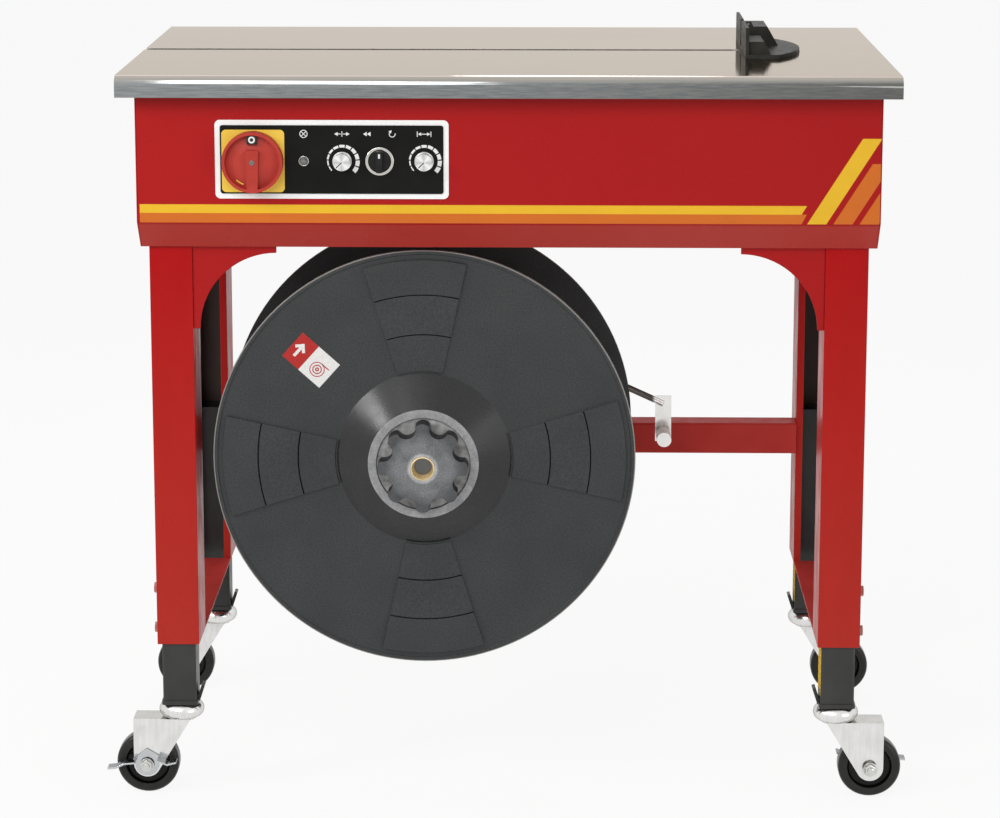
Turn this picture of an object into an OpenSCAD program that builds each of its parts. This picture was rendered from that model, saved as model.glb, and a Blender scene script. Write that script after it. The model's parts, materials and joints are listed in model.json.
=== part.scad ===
// Semi-automatic strapping machine on four telescopic legs with swivel casters.
// +X is to the operator's right, +Y points away from the operator and +Z is up.
// The origin lies on the floor, under the middle of the table top. Millimetres.

/* [Table] */
// Width of the table top
table_w = 895; // [860:5:1000]
// Depth of the table top
table_d = 565; // [540:5:640]
// Height of the working surface above the floor
table_h = 876; // [850:1:920]
// Thickness of the table's steel sheet
table_sheet = 2; // [1:0.5:3]
// Height of the folded edge
table_flange = 25; // [16:1:40]
// Outer radius of the bend along the front and rear edges
table_bend_r = 12; // [6:1:14]
// Width of the strap slot
slot_w = 16; // [10:1:24]
// Depth of the strap trough under the sheet
trough_depth = 13; // [8:1:20]

/* [Strap guide] */
// Place of the guide's fins along the table
guide_x = 280; // [240:1:300]
// Length of the guide across the slot
guide_len = 196; // [150:2:220]
// Reach of the guide's round foot to the right of the fins
guide_reach = 71; // [60:1:78]
// Width of the foot at its two ends
guide_side = 40; // [36:1:50]
// Width of the front block
front_block_w = 31; // [20:1:36]
// Width of the rear block
rear_block_w = 46; // [36:1:48]
// Height of the fins above the table
fin_h = 37; // [25:1:45]
// Thickness of the fins
fin_t = 4; // [2:0.5:6]
// Height of the front block above the table
front_block_h = 20; // [12:1:24]
// Height of the rear block above the table
rear_block_h = 28; // [16:1:36]
// Height of the guide's foot above the table
guide_foot_h = 5; // [3:0.5:8]

/* [Body] */
// Width of the body
body_w = 855; // [850:1:858]
// Depth of the body
body_d = 509; // [490:1:516]
// Height of the body, from the table's underside
body_h = 203; // [180:1:215]
// Distance of the body's front behind the table's front edge
front_setback = 20.5; // [20.5:0.5:30]
// Thickness of the cover sheets
cover_sheet = 1.5; // [1:0.25:2.5]
// Distance that the lower edge is folded inwards
bevel_in = 29; // [15:1:31]
// Height of the folded lower edge
bevel_h = 33; // [20:1:45]
// Thickness of the chassis pan
pan_sheet = 3; // [2:0.5:5]
// Radius of the cover screws
screw_r = 2; // [1.5:0.25:3]

/* [Control panel] */
// Middle of the panel along the front, from the machine's middle
panel_x = -202; // [-240:1:-160]
// Height of the panel's middle above the body's lower edge
panel_rise = 107; // [100:1:112]
// Width of the white border plate
bezel_w = 268; // [264:1:290]
// Height of the white border plate
bezel_h = 91; // [88:1:100]
// Width of the border that shows around the black plate
bezel_border = 6; // [3:0.5:7]
// Thickness of the border plate and of the black plate
panel_sheet = 1; // [0.5:0.25:1.5]
// Side of the yellow switch plate
switch_plate = 72; // [64:1:74]
// Thickness of the switch plate
switch_plate_t = 2.5; // [1.5:0.5:4]
// Diameter of the main switch knob
switch_knob_d = 70; // [50:1:71]
// Depth of the main switch knob
switch_knob_h = 15; // [12:0.5:15]
// Diameter of the two dials
dial_d = 22; // [16:1:28]
// Depth of the two dials
dial_h = 13; // [8:1:15]
// Diameter of the selector's ring
selector_ring_d = 33; // [26:1:36]
// Diameter of the selector's knob
selector_d = 24.5; // [18:0.5:25]
// Diameter of the heater lamp
lamp_d = 10; // [6:1:14]

/* [Legs] */
// Width of a leg
leg_w = 50; // [48:1:56]
// Depth of a leg
leg_d = 70; // [60:1:80]
// Thickness of a leg's sheet
leg_sheet = 2.5; // [2:0.5:3]
// Width of the lips along a leg's open side
leg_lip = 9; // [5:1:14]
// Distance between the middles of the left and right legs
leg_pitch = 786; // [740:1:790]
// Distance of the legs behind the body's front and before its rear
leg_setback = 32; // [31.5:0.5:45]
// Height of the legs' lower ends above the floor
leg_bottom = 189; // [175:1:200]
// Width of an inner tube
tube_w = 40; // [36:1:40]
// Length of an inner tube
tube_len = 270; // [220:5:300]
// Thickness of the side ties
tie_sheet = 3; // [2:0.5:5]
// Width of the gussets
gusset_w = 98; // [70:1:120]
// Width left at the tips of a gusset
gusset_tip = 8; // [4:1:15]
// Side of the rear beam
beam_s = 40; // [30:1:50]
// Height of the rear beam's top above the floor
beam_top = 377; // [345:1:390]
// Distance that the rear beam stands in front of the rear legs
beam_lead = 8; // [0:1:15]

/* [Casters] */
// Height of a caster, from the floor to its inner tube
caster_h = 118; // [114:0.5:122]
// Diameter of a wheel
wheel_d = 75; // [65:1:80]
// Width of a wheel's tread
wheel_w = 25; // [20:1:27]
// Distance of the axle behind the swivel axis
caster_trail = 41; // [34:1:44]
// Radius of the swivel race
race_r = 27; // [24:0.5:30]
// Thickness of the fork's sheet
fork_sheet = 2.5; // [2:0.5:3]
// Radius of the axle bolt
axle_r = 4; // [3:0.5:5]
// Radius of the king pin
king_r = 6; // [5:0.5:8]
// Reach of the brake lever's long wing from the axle
lever_reach = 46; // [38:1:50]

/* [Reel] */
// Radius of the reel's flanges
flange_r = 249; // [220:1:252]
// Room for the coil between the flanges
coil_w = 206; // [190:1:220]
// Radius of the core that carries the coil
core_r = 99; // [90:1:110]
// Thickness of the flanges
flange_t = 6; // [5:0.5:8]
// Place of the reel's axis along the machine
reel_x = -99; // [-105:1:-90]
// Gap between the flanges and the body's lower edge
reel_gap = 5; // [4:0.5:15]
// Distance of the reel's front behind the body's front
reel_setback = 40; // [38:1:50]
// Radius of the cone boss where it leaves the flange
cone_r = 103; // [95:1:115]
// Radius of the grey ring at the front of the cone
ring_r = 65; // [62:1:70]
// Inner radius of the grey ring, around the knob
ring_bore = 55; // [54:0.5:58]
// Depth of the cone boss
cone_h = 28; // [22:1:30]
// Radius over the knob's lobes
knob_r = 53; // [46:0.5:53]
// Radius of the reel's shaft
shaft_r = 10; // [8:0.5:12]
// Width of the raised sectors, in degrees
sector_angle = 29.5; // [20:0.5:40]
// Height of a sector's lowest step, beside the cone
sector_rise = 2.4; // [1.6:0.1:3.5]
// Height of each further step of a sector
step_rise = 0.9; // [0.5:0.1:1.5]
// Turn of the sectors as the reel stands, in degrees
sector_turn = 2.5; // [-10:0.5:10]

/* [Brake arm] */
// Height of the arm's pivot above the reel's axis
arm_rise = 145; // [130:1:160]
// Length of the arm
arm_len = 319; // [300:1:330]
// Slope of the arm below the horizontal, in degrees
arm_slope = 24.5; // [15:0.5:30]
// Radius of the arm's rod
arm_rod_r = 4; // [3:0.5:5]
// Radius of the arm's end roller
roller_r = 9; // [7:0.5:12]

/* [Drive] */
// Radius of the motor's body
motor_r = 55; // [40:1:62]
// Length of the motor's body
motor_len = 150; // [110:5:190]
// Radius of the motor pulley
motor_pulley_r = 25; // [18:1:32]
// Radius of the cam shaft's pulley
cam_pulley_r = 50; // [40:1:56]
// Distance between the motor's axis and the cam shaft
drive_pitch = 130; // [120:1:150]
// Radius of the cam shaft
cam_shaft_r = 9; // [7:0.5:11]

/* [Fits] */
// Running clearance of a shaft in its bore, on the radius
fit = 0.05; // [0.02:0.01:0.1]
// Gap between faces that pass each other
gap = 0.3; // [0.2:0.05:0.5]

/* [Hidden] */
$fn = 64;

red = [0.72, 0.10, 0.09];
black = [0.12, 0.12, 0.13];
zinc = [0.80, 0.80, 0.80];
steel = [0.70, 0.70, 0.70];

// Cuts run past the faces that they open by this much
over = 1;

// Heights and faces of the body
table_under = table_h - table_sheet;
body_z = table_under - body_h;
front_y = front_setback - table_d / 2;
rear_y = front_y + body_d;
bevel_len = sqrt(bevel_in * bevel_in + bevel_h * bevel_h);
// Thickness of the folded lower edge, measured level
bevel_t = cover_sheet * bevel_len / bevel_h;
pan_front = front_y + bevel_in + bevel_t;
pan_rear = rear_y - bevel_in - bevel_t;
pan_top = body_z + pan_sheet;
inside_w = body_w - 2 * cover_sheet;

// Strap trough and guide
trough_wall = 1.5;
trough_z = table_under - trough_depth - trough_wall;
guide_seat = 3;
guide_margin = 8;
foot_z = table_under;
foot_top = table_h + guide_foot_h;
foot_sag = guide_reach - guide_side;
foot_r = (guide_len * guide_len / 4 + foot_sag * foot_sag) / (2 * foot_sag);
cut_gap = 0.5;
block_inset = 6;
block_d = (guide_len - slot_w) / 2 - 3 * block_inset;
block_slant = 0.58;

// Control panel: faces from the cover outwards, and the row of controls
bezel_y = front_y - panel_sheet;
plate_y = bezel_y - panel_sheet;
panel_z = body_z + panel_rise;
row_z = panel_z - 1.5;
switch_x = panel_x - (bezel_w - switch_plate) / 2 + bezel_border + 2;
lamp_x = panel_x - 32;
tension_x = panel_x + 12;
selector_x = panel_x + 55;
feed_x = panel_x + 106;
spindle_in = 12;
switch_spindle_r = 6;
switch_rim_t = 3.5;
switch_floor_h = 7.5;
switch_hub_r = 15.5;
switch_hub_h = 11;
switch_bar_w = 14.5;
switch_bar_foot = 12.4;
switch_bar_top = 14;
dial_spindle_r = 3;
selector_spindle_r = 5;
lamp_stem_r = 3.5;
selector_ring_h = 3;

// Legs
leg_x = leg_pitch / 2;
leg_front_y = front_y + leg_setback;
leg_rear_y = rear_y - leg_setback;
leg_len = body_z - leg_bottom;
tube_wall = 2.5;
tube_front_y = leg_front_y + leg_sheet + gap + tube_w / 2;
tube_rear_y = leg_rear_y - leg_sheet - gap - tube_w / 2;
gusset_t = 2.5;
gusset_inset = 2;
clamp_r = 4;
clamp_head_r = 6.5;
clamp_head_h = 5;
clamp_rises = [15, 64];
beam_y = leg_rear_y - leg_d - beam_lead;
beam_wall = 2.5;

// Casters
axle_z = wheel_d / 2;
hub_half = wheel_w / 2 + 1.5;
fork_half = hub_half + gap;
fork_out = fork_half + fork_sheet;
race_h = 19;
cap_h = 5;
cap_lip = 1.6;
cap_z = caster_h - cap_h;
race_z = cap_z - gap - race_h;
fork_top = race_z;
fork_round = 16;
fork_nose = caster_trail + fork_round;
fork_back = 12;
lever_sheet = 2;
bolt_head_r = 7;
bolt_head_h = 5;

// Reel, measured along its axis from the front of the front flange
reel_z = body_z - reel_gap - flange_r;
reel_y = front_y + reel_setback;
flange_in_y = reel_y + flange_t;
rear_flange_y = flange_in_y + coil_w;
rear_face_y = rear_flange_y + flange_t;
step_rs = [cone_r + 2, flange_r * 0.6, flange_r * 0.79, flange_r * 0.955];
step_tops = [for (step = [0:2]) sector_rise + step * step_rise];
seam_w = 1.2;
seam_d = 1.4;
rim_w = 5;
rim_h = 1.5;
cone_wall = 3;
ring_h = 3;
hub_r = 25;
spigot = 12;
bush_r = shaft_r + 4;
knob_h = 25;
knob_lobes = 8;
lobe_r = knob_r * 0.2;
valley_r = knob_r * 0.73;
tip_sunk = 13;
shaft_tip = cone_h + gap + knob_h - tip_sunk;
core_wall = 4;
web_t = 5;
web_in = spigot + 8;
rear_hub_r = 30;
rear_hub_h = 8;
collar_r = 16;

// Reel stand and brake arm
stand_room = 24;
stand_y = rear_face_y + rear_hub_h + stand_room;
stand_s = 40;
stand_wall = 3;
pivot_r = 6;
pivot_z = reel_z + arm_rise;
arm_boss_r = 13;
arm_boss_w = 16;
arm_y = stand_y - gap - arm_boss_w / 2;
arm_end_x = reel_x + arm_len * cos(arm_slope);
arm_end_z = pivot_z - arm_len * sin(arm_slope);
arm_plate_w = 20;
arm_plate_t = 3;
arm_plate_h = 58;
roller_pin_r = 4;
roller_w = 34;
roller_drop = 38;
roller_head_t = 2;

// Drive: the motor and the cam shaft lie along the machine, side by side
drive_z = pan_top + 70;
motor_x = 0;
motor_y = 105;
motor_bell = 4;
motor_bell_r = 0.7 * motor_r;
motor_foot_w = 70;
motor_foot_in = 20;
cam_y = motor_y - drive_pitch;
pulley_w = 20;
pulley_x = -34;
shaft_end_out = 4;
motor_shaft_r = 8;
cam_lobe_r = 24;
cam_lobe_w = 12;
cam_lobe_off = 7;
cam_lobe_pitch = 24;
cam_lobes = 4;
head_x = 46;
head_w = 112;
head_plate = 6;
head_d = 84;
head_top = trough_z;
head_low = drive_z + cam_lobe_r + cam_lobe_off + 12;
bearing_w = 18;
bearing_d = 52;
bearing_h = 96;
bearing_xs = [head_x - bearing_w - 6, head_x + head_w + 6];
cam_end = bearing_xs[1] + bearing_w + 8;
belt_t = 3;

// Transformer on the pan, and the control board on posts behind the front cover
transformer_x = -320;
transformer_y = 60;
iron_w = 84;
iron_d = 70;
iron_h = 80;
iron_foot = 12;
iron_foot_t = 3;
winding_w = 60;
winding_d = 92;
winding_h = 52;
board_w = 230;
board_t = 1.6;
board_h = 76;
post_len = 26;
post_in = 8;
post_r = 4;
relays = 4;
relay_in = 30;
relay_pitch = 48;
relay_w = 26;
relay_d = 18;
relay_h = 32;

// Screws: on the side covers by depth and rise, on the rear cover by place and rise
side_screw_ys = [front_y + 30, rear_y - 30];
screw_rises = [bevel_h + 14, body_h - 40];
rear_screw_xs = [-body_w / 2 + 30, 0, body_w / 2 - 30];
screw_head_r = 2.4 * screw_r;
screw_head_h = 1.2 * screw_r;
screw_gap = 0.2;
screw_len = 8;

// Power inlet gland on the rear cover
inlet_x = -300;
inlet_rise = 62;
inlet_r = 10;
inlet_bore = 4;
inlet_nut_r = 15;

// Vent slots in the rear cover
vent_w = 70;
vent_h = 5;
vent_pitch = 13;
vent_rows = 6;
vent_xs = [120, 230];
vent_rise = 70;

function unit(v) = v / norm(v);
function left_of(v) = [-v[1], v[0]];

// Offset of a bent sheet's inner face at one point of its outer line
function sheet_shift(points, i, t) =
  let (last = len(points) - 1,
       before = unit(points[max(i, 1)] - points[max(i, 1) - 1]),
       after = unit(points[min(i, last - 1) + 1] - points[min(i, last - 1)]),
       a = left_of(before),
       b = left_of(after))
  t * (a + b) / (1 + a * b);

// Outline of a sheet of thickness t that follows a line of points
function sheet_outline(points, t) =
  concat(points, [for (i = [len(points) - 1:-1:0]) points[i] + sheet_shift(points, i, t)]);

// Point where a line from p touches a circle, on its right-hand side
function tangent_point(p, centre, r) =
  let (d = centre - p,
       reach = sqrt(d * d - r * r),
       turn = atan2(d[1], d[0]) - asin(r / norm(d)))
  p + reach * [cos(turn), sin(turn)];

module rounded_rect(w, h, r) {
  square([w - 2 * r, h], center = true);
  square([w, h - 2 * r], center = true);
  for (x = [-1, 1])
    for (y = [-1, 1])
      translate([x * (w / 2 - r), y * (h / 2 - r)]) circle(r);
}

// Extrudes a shape drawn in Y and Z along X
module along_x(length) {
  rotate([90, 0, 90]) linear_extrude(length) children();
}

// Extrudes a shape drawn in X and Z towards the front, from y = 0
module towards_front(length) {
  rotate([90, 0, 0]) linear_extrude(length) children();
}

// A cylinder whose axis points to the front, from y = 0
module front_cylinder(h, r) {
  rotate([90, 0, 0]) cylinder(h = h, r = r);
}

// Table top

module table_section(w, r, drop) {
  translate([-w / 2, -drop]) square([w, drop - r]);
  translate([-w / 2 + r, -drop]) square([w - 2 * r, drop]);
  for (side = [-1, 1])
    translate([side * (w / 2 - r), -r]) circle(r);
}

// Plan of the guide's round foot: a segment of a disc, with its straight side along the fins
module guide_plan(grow) {
  intersection() {
    translate([guide_x + guide_reach - foot_r, 0]) circle(foot_r + grow, $fn = 128);
    translate([guide_x - grow, -guide_len / 2 - grow])
      square([guide_reach + 2 * grow, guide_len + 2 * grow]);
  }
}

module slot_cut(depth, w) {
  translate([-table_w / 2 - over, -w / 2, table_h - depth])
    cube([guide_x + table_w / 2 + over, w, depth + over]);
}

module table_top() {
  color(steel)
    difference() {
      union() {
        translate([-table_w / 2, 0, table_h])
          along_x(table_w)
            difference() {
              table_section(table_d, table_bend_r, table_flange);
              translate([0, -table_sheet])
                table_section(table_d - 2 * table_sheet, table_bend_r - table_sheet, table_flange);
            }
        for (x = [-table_w / 2, table_w / 2 - table_sheet])
          translate([x, 0, table_h])
            along_x(table_sheet) table_section(table_d, table_bend_r, table_flange);
      }
      slot_cut(table_sheet + trough_depth, slot_w);
      translate([0, 0, table_under - over])
        linear_extrude(table_sheet + 2 * over) guide_plan(cut_gap);
    }
}

// Body covers

module body_section() {
  polygon([
    [front_y, table_under], [front_y, body_z + bevel_h], [front_y + bevel_in, body_z],
    [rear_y - bevel_in, body_z], [rear_y, body_z + bevel_h], [rear_y, table_under]]);
}

front_line = [[front_y, table_under], [front_y, body_z + bevel_h], [front_y + bevel_in, body_z]];
rear_line = [[rear_y - bevel_in, body_z], [rear_y, body_z + bevel_h], [rear_y, table_under]];

module spindle_hole(x, r) {
  translate([x, front_y + cover_sheet + over, row_z])
    front_cylinder(cover_sheet + 2 * panel_sheet + switch_plate_t + 2 * over, r + fit);
}

// Holes through the panel for the spindles of its controls
module panel_holes() {
  spindle_hole(switch_x, switch_spindle_r);
  spindle_hole(lamp_x, lamp_stem_r);
  spindle_hole(tension_x, dial_spindle_r);
  spindle_hole(selector_x, selector_spindle_r);
  spindle_hole(feed_x, dial_spindle_r);
}

module front_cover() {
  color(red)
    difference() {
      translate([-inside_w / 2, 0, 0])
        along_x(inside_w) polygon(sheet_outline(front_line, cover_sheet));
      panel_holes();
    }
}

module rear_cover() {
  color(red)
    difference() {
      translate([-inside_w / 2, 0, 0])
        along_x(inside_w) polygon(sheet_outline(rear_line, cover_sheet));
      rear_screws(screw_r + screw_gap, screw_r + screw_gap);
      translate([inlet_x, rear_y + over, body_z + inlet_rise])
        front_cylinder(cover_sheet + 2 * over, inlet_r + fit);
      for (x = vent_xs)
        for (row = [0:vent_rows - 1])
          translate([x - vent_w / 2, rear_y - cover_sheet - over, body_z + vent_rise + row * vent_pitch])
            cube([vent_w, cover_sheet + 2 * over, vent_h]);
    }
}

// Side cover, drawn for the right side
module side_cover(side) {
  color(red)
    difference() {
      translate([side > 0 ? inside_w / 2 : -body_w / 2, 0, 0]) along_x(cover_sheet) body_section();
      side_screws(side, screw_r + screw_gap, screw_r + screw_gap);
      slot_cut(table_sheet + trough_depth + trough_wall + gap, slot_w + 2 * trough_wall + 2 * gap);
    }
}

module left_cover() { side_cover(-1); }
module right_cover() { side_cover(1); }

module chassis_plate() {
  color(steel)
    translate([-inside_w / 2, pan_front, body_z])
      cube([inside_w, pan_rear - pan_front, pan_sheet]);
}

// One screw along +Z: a round head on the sheet and a shank through it
module screw(head_r, shank_r) {
  cylinder(h = screw_head_h, r = head_r);
  translate([0, 0, -screw_len]) cylinder(h = screw_len + over / 2, r = shank_r);
}

module side_screws(side, head_r, shank_r) {
  for (y = side_screw_ys)
    for (rise = screw_rises)
      translate([side * body_w / 2, y, body_z + rise])
        rotate([0, side * 90, 0]) screw(head_r, shank_r);
}

module rear_screws(head_r, shank_r) {
  for (x = rear_screw_xs)
    for (rise = screw_rises)
      translate([x, rear_y, body_z + rise])
        rotate([-90, 0, 0]) screw(head_r, shank_r);
}

module cover_screws() {
  color(zinc) {
    side_screws(-1, screw_head_r, screw_r);
    side_screws(1, screw_head_r, screw_r);
    rear_screws(screw_head_r, screw_r);
  }
}

module power_inlet() {
  color(black)
    translate([inlet_x, rear_y, body_z + inlet_rise])
      rotate([-90, 0, 0])
        difference() {
          union() {
            translate([0, 0, -spindle_in]) cylinder(h = spindle_in + over, r = inlet_r);
            cylinder(h = 7, r = inlet_nut_r, $fn = 6);
            translate([0, 0, 7]) cylinder(h = 14, r1 = inlet_r + 1, r2 = inlet_r - 3);
          }
          translate([0, 0, -spindle_in - over]) cylinder(h = spindle_in + 30, r = inlet_bore);
        }
}

// Control panel

module panel_bezel() {
  color("white")
    difference() {
      translate([panel_x, front_y, panel_z])
        towards_front(panel_sheet) rounded_rect(bezel_w, bezel_h, 6);
      panel_holes();
    }
}

module control_plate() {
  color(black)
    difference() {
      translate([panel_x, bezel_y, panel_z])
        towards_front(panel_sheet)
          rounded_rect(bezel_w - 2 * bezel_border, bezel_h - 2 * bezel_border, 3);
      panel_holes();
    }
}

module main_switch_plate() {
  color("gold")
    difference() {
      translate([switch_x, plate_y, row_z])
        towards_front(switch_plate_t) rounded_rect(switch_plate, switch_plate, 5);
      panel_holes();
    }
}

module selector_bezel() {
  color(zinc)
    translate([selector_x, plate_y, row_z])
      difference() {
        front_cylinder(selector_ring_h, selector_ring_d / 2);
        translate([0, over, 0]) front_cylinder(selector_ring_h + 2 * over, selector_d / 2 + gap);
      }
}

module heater_lamp() {
  color("darkred")
    translate([lamp_x, plate_y, row_z]) {
      translate([0, spindle_in, 0]) front_cylinder(spindle_in + over, lamp_stem_r);
      front_cylinder(1.5, lamp_d / 2);
      front_cylinder(3.5, lamp_d / 2 - 1.5);
    }
}

// Round knob on a spindle that runs into the panel
module spindle(r) {
  translate([0, spindle_in, 0]) front_cylinder(spindle_in + 2 * gap, r);
}

// Dished red knob: a raised rim, a floor that rises to the hub, and a grip bar that points down
module main_switch_knob() {
  knob_r_out = switch_knob_d / 2;
  rim_in = knob_r_out - switch_rim_t;
  bar_foot_z = -knob_r_out + switch_rim_t / 2;
  color("red")
    translate([switch_x, plate_y - switch_plate_t - gap, row_z]) {
      spindle(switch_spindle_r);
      rotate([90, 0, 0])
        rotate_extrude()
          polygon([
            [0, 0], [knob_r_out, 0], [knob_r_out, switch_knob_h], [rim_in, switch_knob_h],
            [rim_in, switch_floor_h], [switch_hub_r, switch_hub_h], [0, switch_hub_h]
          ]);
      towards_front(switch_knob_h)
        polygon([
          [-switch_bar_w / 2, switch_bar_top], [switch_bar_w / 2, switch_bar_top],
          [switch_bar_foot / 2, bar_foot_z], [-switch_bar_foot / 2, bar_foot_z]
        ]);
    }
}

module dial(x) {
  skirt_h = 3;
  color(zinc)
    translate([x, plate_y - gap, row_z]) {
      spindle(dial_spindle_r);
      front_cylinder(skirt_h, dial_d / 2);
      front_cylinder(dial_h, dial_d / 2 - 1.2);
    }
}

module tension_dial() { dial(tension_x); }
module feed_dial() { dial(feed_x); }

module selector_knob() {
  base_h = 6;
  bar_w = selector_d * 0.3;
  color(black)
    translate([selector_x, plate_y - gap, row_z]) {
      spindle(selector_spindle_r);
      front_cylinder(base_h, selector_d / 2);
      intersection() {
        front_cylinder(dial_h, selector_d / 2);
        translate([-bar_w / 2, -dial_h, -selector_d / 2]) cube([bar_w, dial_h, selector_d]);
      }
    }
}

// Legs

// Channel with lips along its open side; the web lies at y = 0
module leg_channel() {
  linear_extrude(leg_len)
    difference() {
      translate([-leg_w / 2, 0]) square([leg_w, leg_d]);
      translate([-leg_w / 2 + leg_sheet, leg_sheet])
        square([leg_w - 2 * leg_sheet, leg_d - 2 * leg_sheet]);
      translate([-leg_w / 2 + leg_lip, leg_d / 2]) square([leg_w - 2 * leg_lip, leg_d]);
    }
}

// side is -1 on the left and 1 on the right; end is -1 at the front and 1 at the rear
module leg(side, end) {
  color(red)
    difference() {
      translate([side * leg_x, end < 0 ? leg_front_y : leg_rear_y, leg_bottom])
        mirror([0, end > 0 ? 1 : 0, 0]) leg_channel();
      clamp_bolts(side, end, clamp_r + screw_gap, 0);
    }
}

// Two bolts through a leg's outer wall, which clamp its inner tube
module clamp_bolts(side, end, shank_r, head_h) {
  tube_y = end < 0 ? tube_front_y : tube_rear_y;
  out_x = leg_x + leg_w / 2;
  tip_x = leg_x + tube_w / 2 + gap;
  for (rise = clamp_rises)
    translate([side * tip_x, tube_y, leg_bottom + rise])
      rotate([0, side * 90, 0]) {
        cylinder(h = out_x - tip_x + over / 2, r = shank_r);
        if (head_h > 0)
          translate([0, 0, out_x - tip_x]) cylinder(h = head_h, r = clamp_head_r, $fn = 6);
      }
}

module leg_front_left() { leg(-1, -1); }
module leg_front_right() { leg(1, -1); }
module leg_rear_left() { leg(-1, 1); }
module leg_rear_right() { leg(1, 1); }

module leg_clamp_bolts() {
  color(zinc)
    for (side = [-1, 1])
      for (end = [-1, 1])
        clamp_bolts(side, end, clamp_r, clamp_head_h);
}

module leg_tie(side) {
  tie_front = leg_front_y + leg_d;
  tie_rear = leg_rear_y - leg_d;
  color(red)
    translate([side * leg_x - leg_w / 2, tie_front, leg_bottom])
      cube([leg_w, tie_rear - tie_front, tie_sheet]);
}

module leg_tie_left() { leg_tie(-1); }
module leg_tie_right() { leg_tie(1); }

module rear_beam() {
  beam_len = leg_pitch - leg_w;
  color(red)
    translate([-beam_len / 2, beam_y + beam_s / 2, beam_top - beam_s / 2])
      along_x(beam_len)
        difference() {
          rounded_rect(beam_s, beam_s, 4);
          square(beam_s - 2 * beam_wall, center = true);
        }
}

// Corner sheet with a concave edge, drawn for a leg on its left
module gusset() {
  translate([0, gusset_t, 0])
    towards_front(gusset_t)
      difference() {
        translate([0, -gusset_w]) square(gusset_w);
        translate([gusset_w, -gusset_w]) circle(gusset_w - gusset_tip, $fn = 128);
      }
}

module leg_gussets() {
  color(red)
    for (side = [-1, 1])
      for (y = [leg_front_y + gusset_inset, leg_rear_y - gusset_inset - gusset_t])
        translate([side * (leg_x - leg_w / 2), y, body_z])
          mirror([side > 0 ? 1 : 0, 0, 0]) gusset();
}

// Inner tubes and casters

module inner_leg(side, end) {
  tab_w = 16;
  tab_h = 20;
  tab_t = 4;
  tab_tilt = 18;
  color(black)
    translate([side * leg_x, end < 0 ? tube_front_y : tube_rear_y, 0]) {
      translate([0, 0, caster_h])
        linear_extrude(tube_len)
          difference() {
            rounded_rect(tube_w, tube_w, 3);
            square(tube_w - 2 * tube_wall, center = true);
          }
      translate([0, 0, cap_z])
        linear_extrude(cap_h) rounded_rect(tube_w + 2 * cap_lip, tube_w + 2 * cap_lip, 4);
      translate([-side * (tube_w / 2 + cap_lip / 2), 0, cap_z + tab_t / 2])
        rotate([0, -side * tab_tilt, 0])
          translate([-tab_t / 2, -tab_w / 2, 0]) cube([tab_t, tab_w, tab_h]);
      king_pin();
    }
}

// Pin that the fork turns on, with a head under the fork
module king_pin() {
  head_h = 4;
  pin_z = fork_top - fork_sheet - gap - head_h;
  translate([0, 0, pin_z]) cylinder(h = cap_z - pin_z + over, r = king_r);
  translate([0, 0, pin_z]) cylinder(h = head_h, r = king_r + 3);
}

module inner_leg_front_left() { inner_leg(-1, -1); }
module inner_leg_front_right() { inner_leg(1, -1); }
module inner_leg_rear_left() { inner_leg(-1, 1); }
module inner_leg_rear_right() { inner_leg(1, 1); }

// Places a caster that trails outwards
module at_caster(side, end) {
  translate([side * leg_x, end < 0 ? tube_front_y : tube_rear_y, 0])
    rotate([0, 0, side > 0 ? 0 : 180]) children();
}

module fork_cheek() {
  top_in = [-fork_back, fork_top];
  axle = [caster_trail, axle_z];
  nose = [[fork_nose, axle_z], [fork_nose, fork_top]];
  polygon(concat([top_in, tangent_point(top_in, axle, fork_round), axle], nose));
  translate(axle) circle(fork_round);
}

// Fork with its race and axle bolt, drawn with the axle on +X and the bolt's head on +Y
module fork(brake) {
  head_room = brake ? lever_sheet + 2 * gap : 0;
  head_y = fork_out + head_room;
  color(zinc)
    difference() {
      union() {
        translate([0, 0, fork_top - fork_sheet])
          linear_extrude(fork_sheet) {
            circle(fork_out);
            translate([fork_nose / 2, 0]) rounded_rect(fork_nose, 2 * fork_out, 6);
            translate([0, -fork_out]) square([fork_nose / 2, 2 * fork_out]);
          }
        translate([0, 0, race_z])
          rotate_extrude() {
            square([race_r - race_h / 2, race_h]);
            translate([race_r - race_h / 2, race_h / 2]) circle(race_h / 2);
          }
        for (y = [-fork_half, fork_out])
          translate([0, y, 0]) towards_front(fork_sheet) fork_cheek();
        translate([caster_trail, head_y + bolt_head_h, axle_z])
          front_cylinder(head_y + fork_out + 2 * bolt_head_h, axle_r);
        translate([caster_trail, head_y + bolt_head_h, axle_z])
          rotate([90, 0, 0]) cylinder(h = bolt_head_h, r = bolt_head_r, $fn = 6);
        translate([caster_trail, -fork_out, axle_z])
          rotate([90, 0, 0]) cylinder(h = bolt_head_h, r = bolt_head_r, $fn = 6);
      }
      translate([0, 0, fork_top - fork_sheet - over])
        cylinder(h = fork_sheet + race_h + 2 * over, r = king_r + fit);
    }
}

module caster_fork_front_left() { at_caster(-1, -1) fork(true); }
module caster_fork_front_right() { at_caster(1, -1) fork(true); }
module caster_fork_rear_left() { at_caster(-1, 1) fork(false); }
module caster_fork_rear_right() { at_caster(1, 1) fork(false); }

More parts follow.
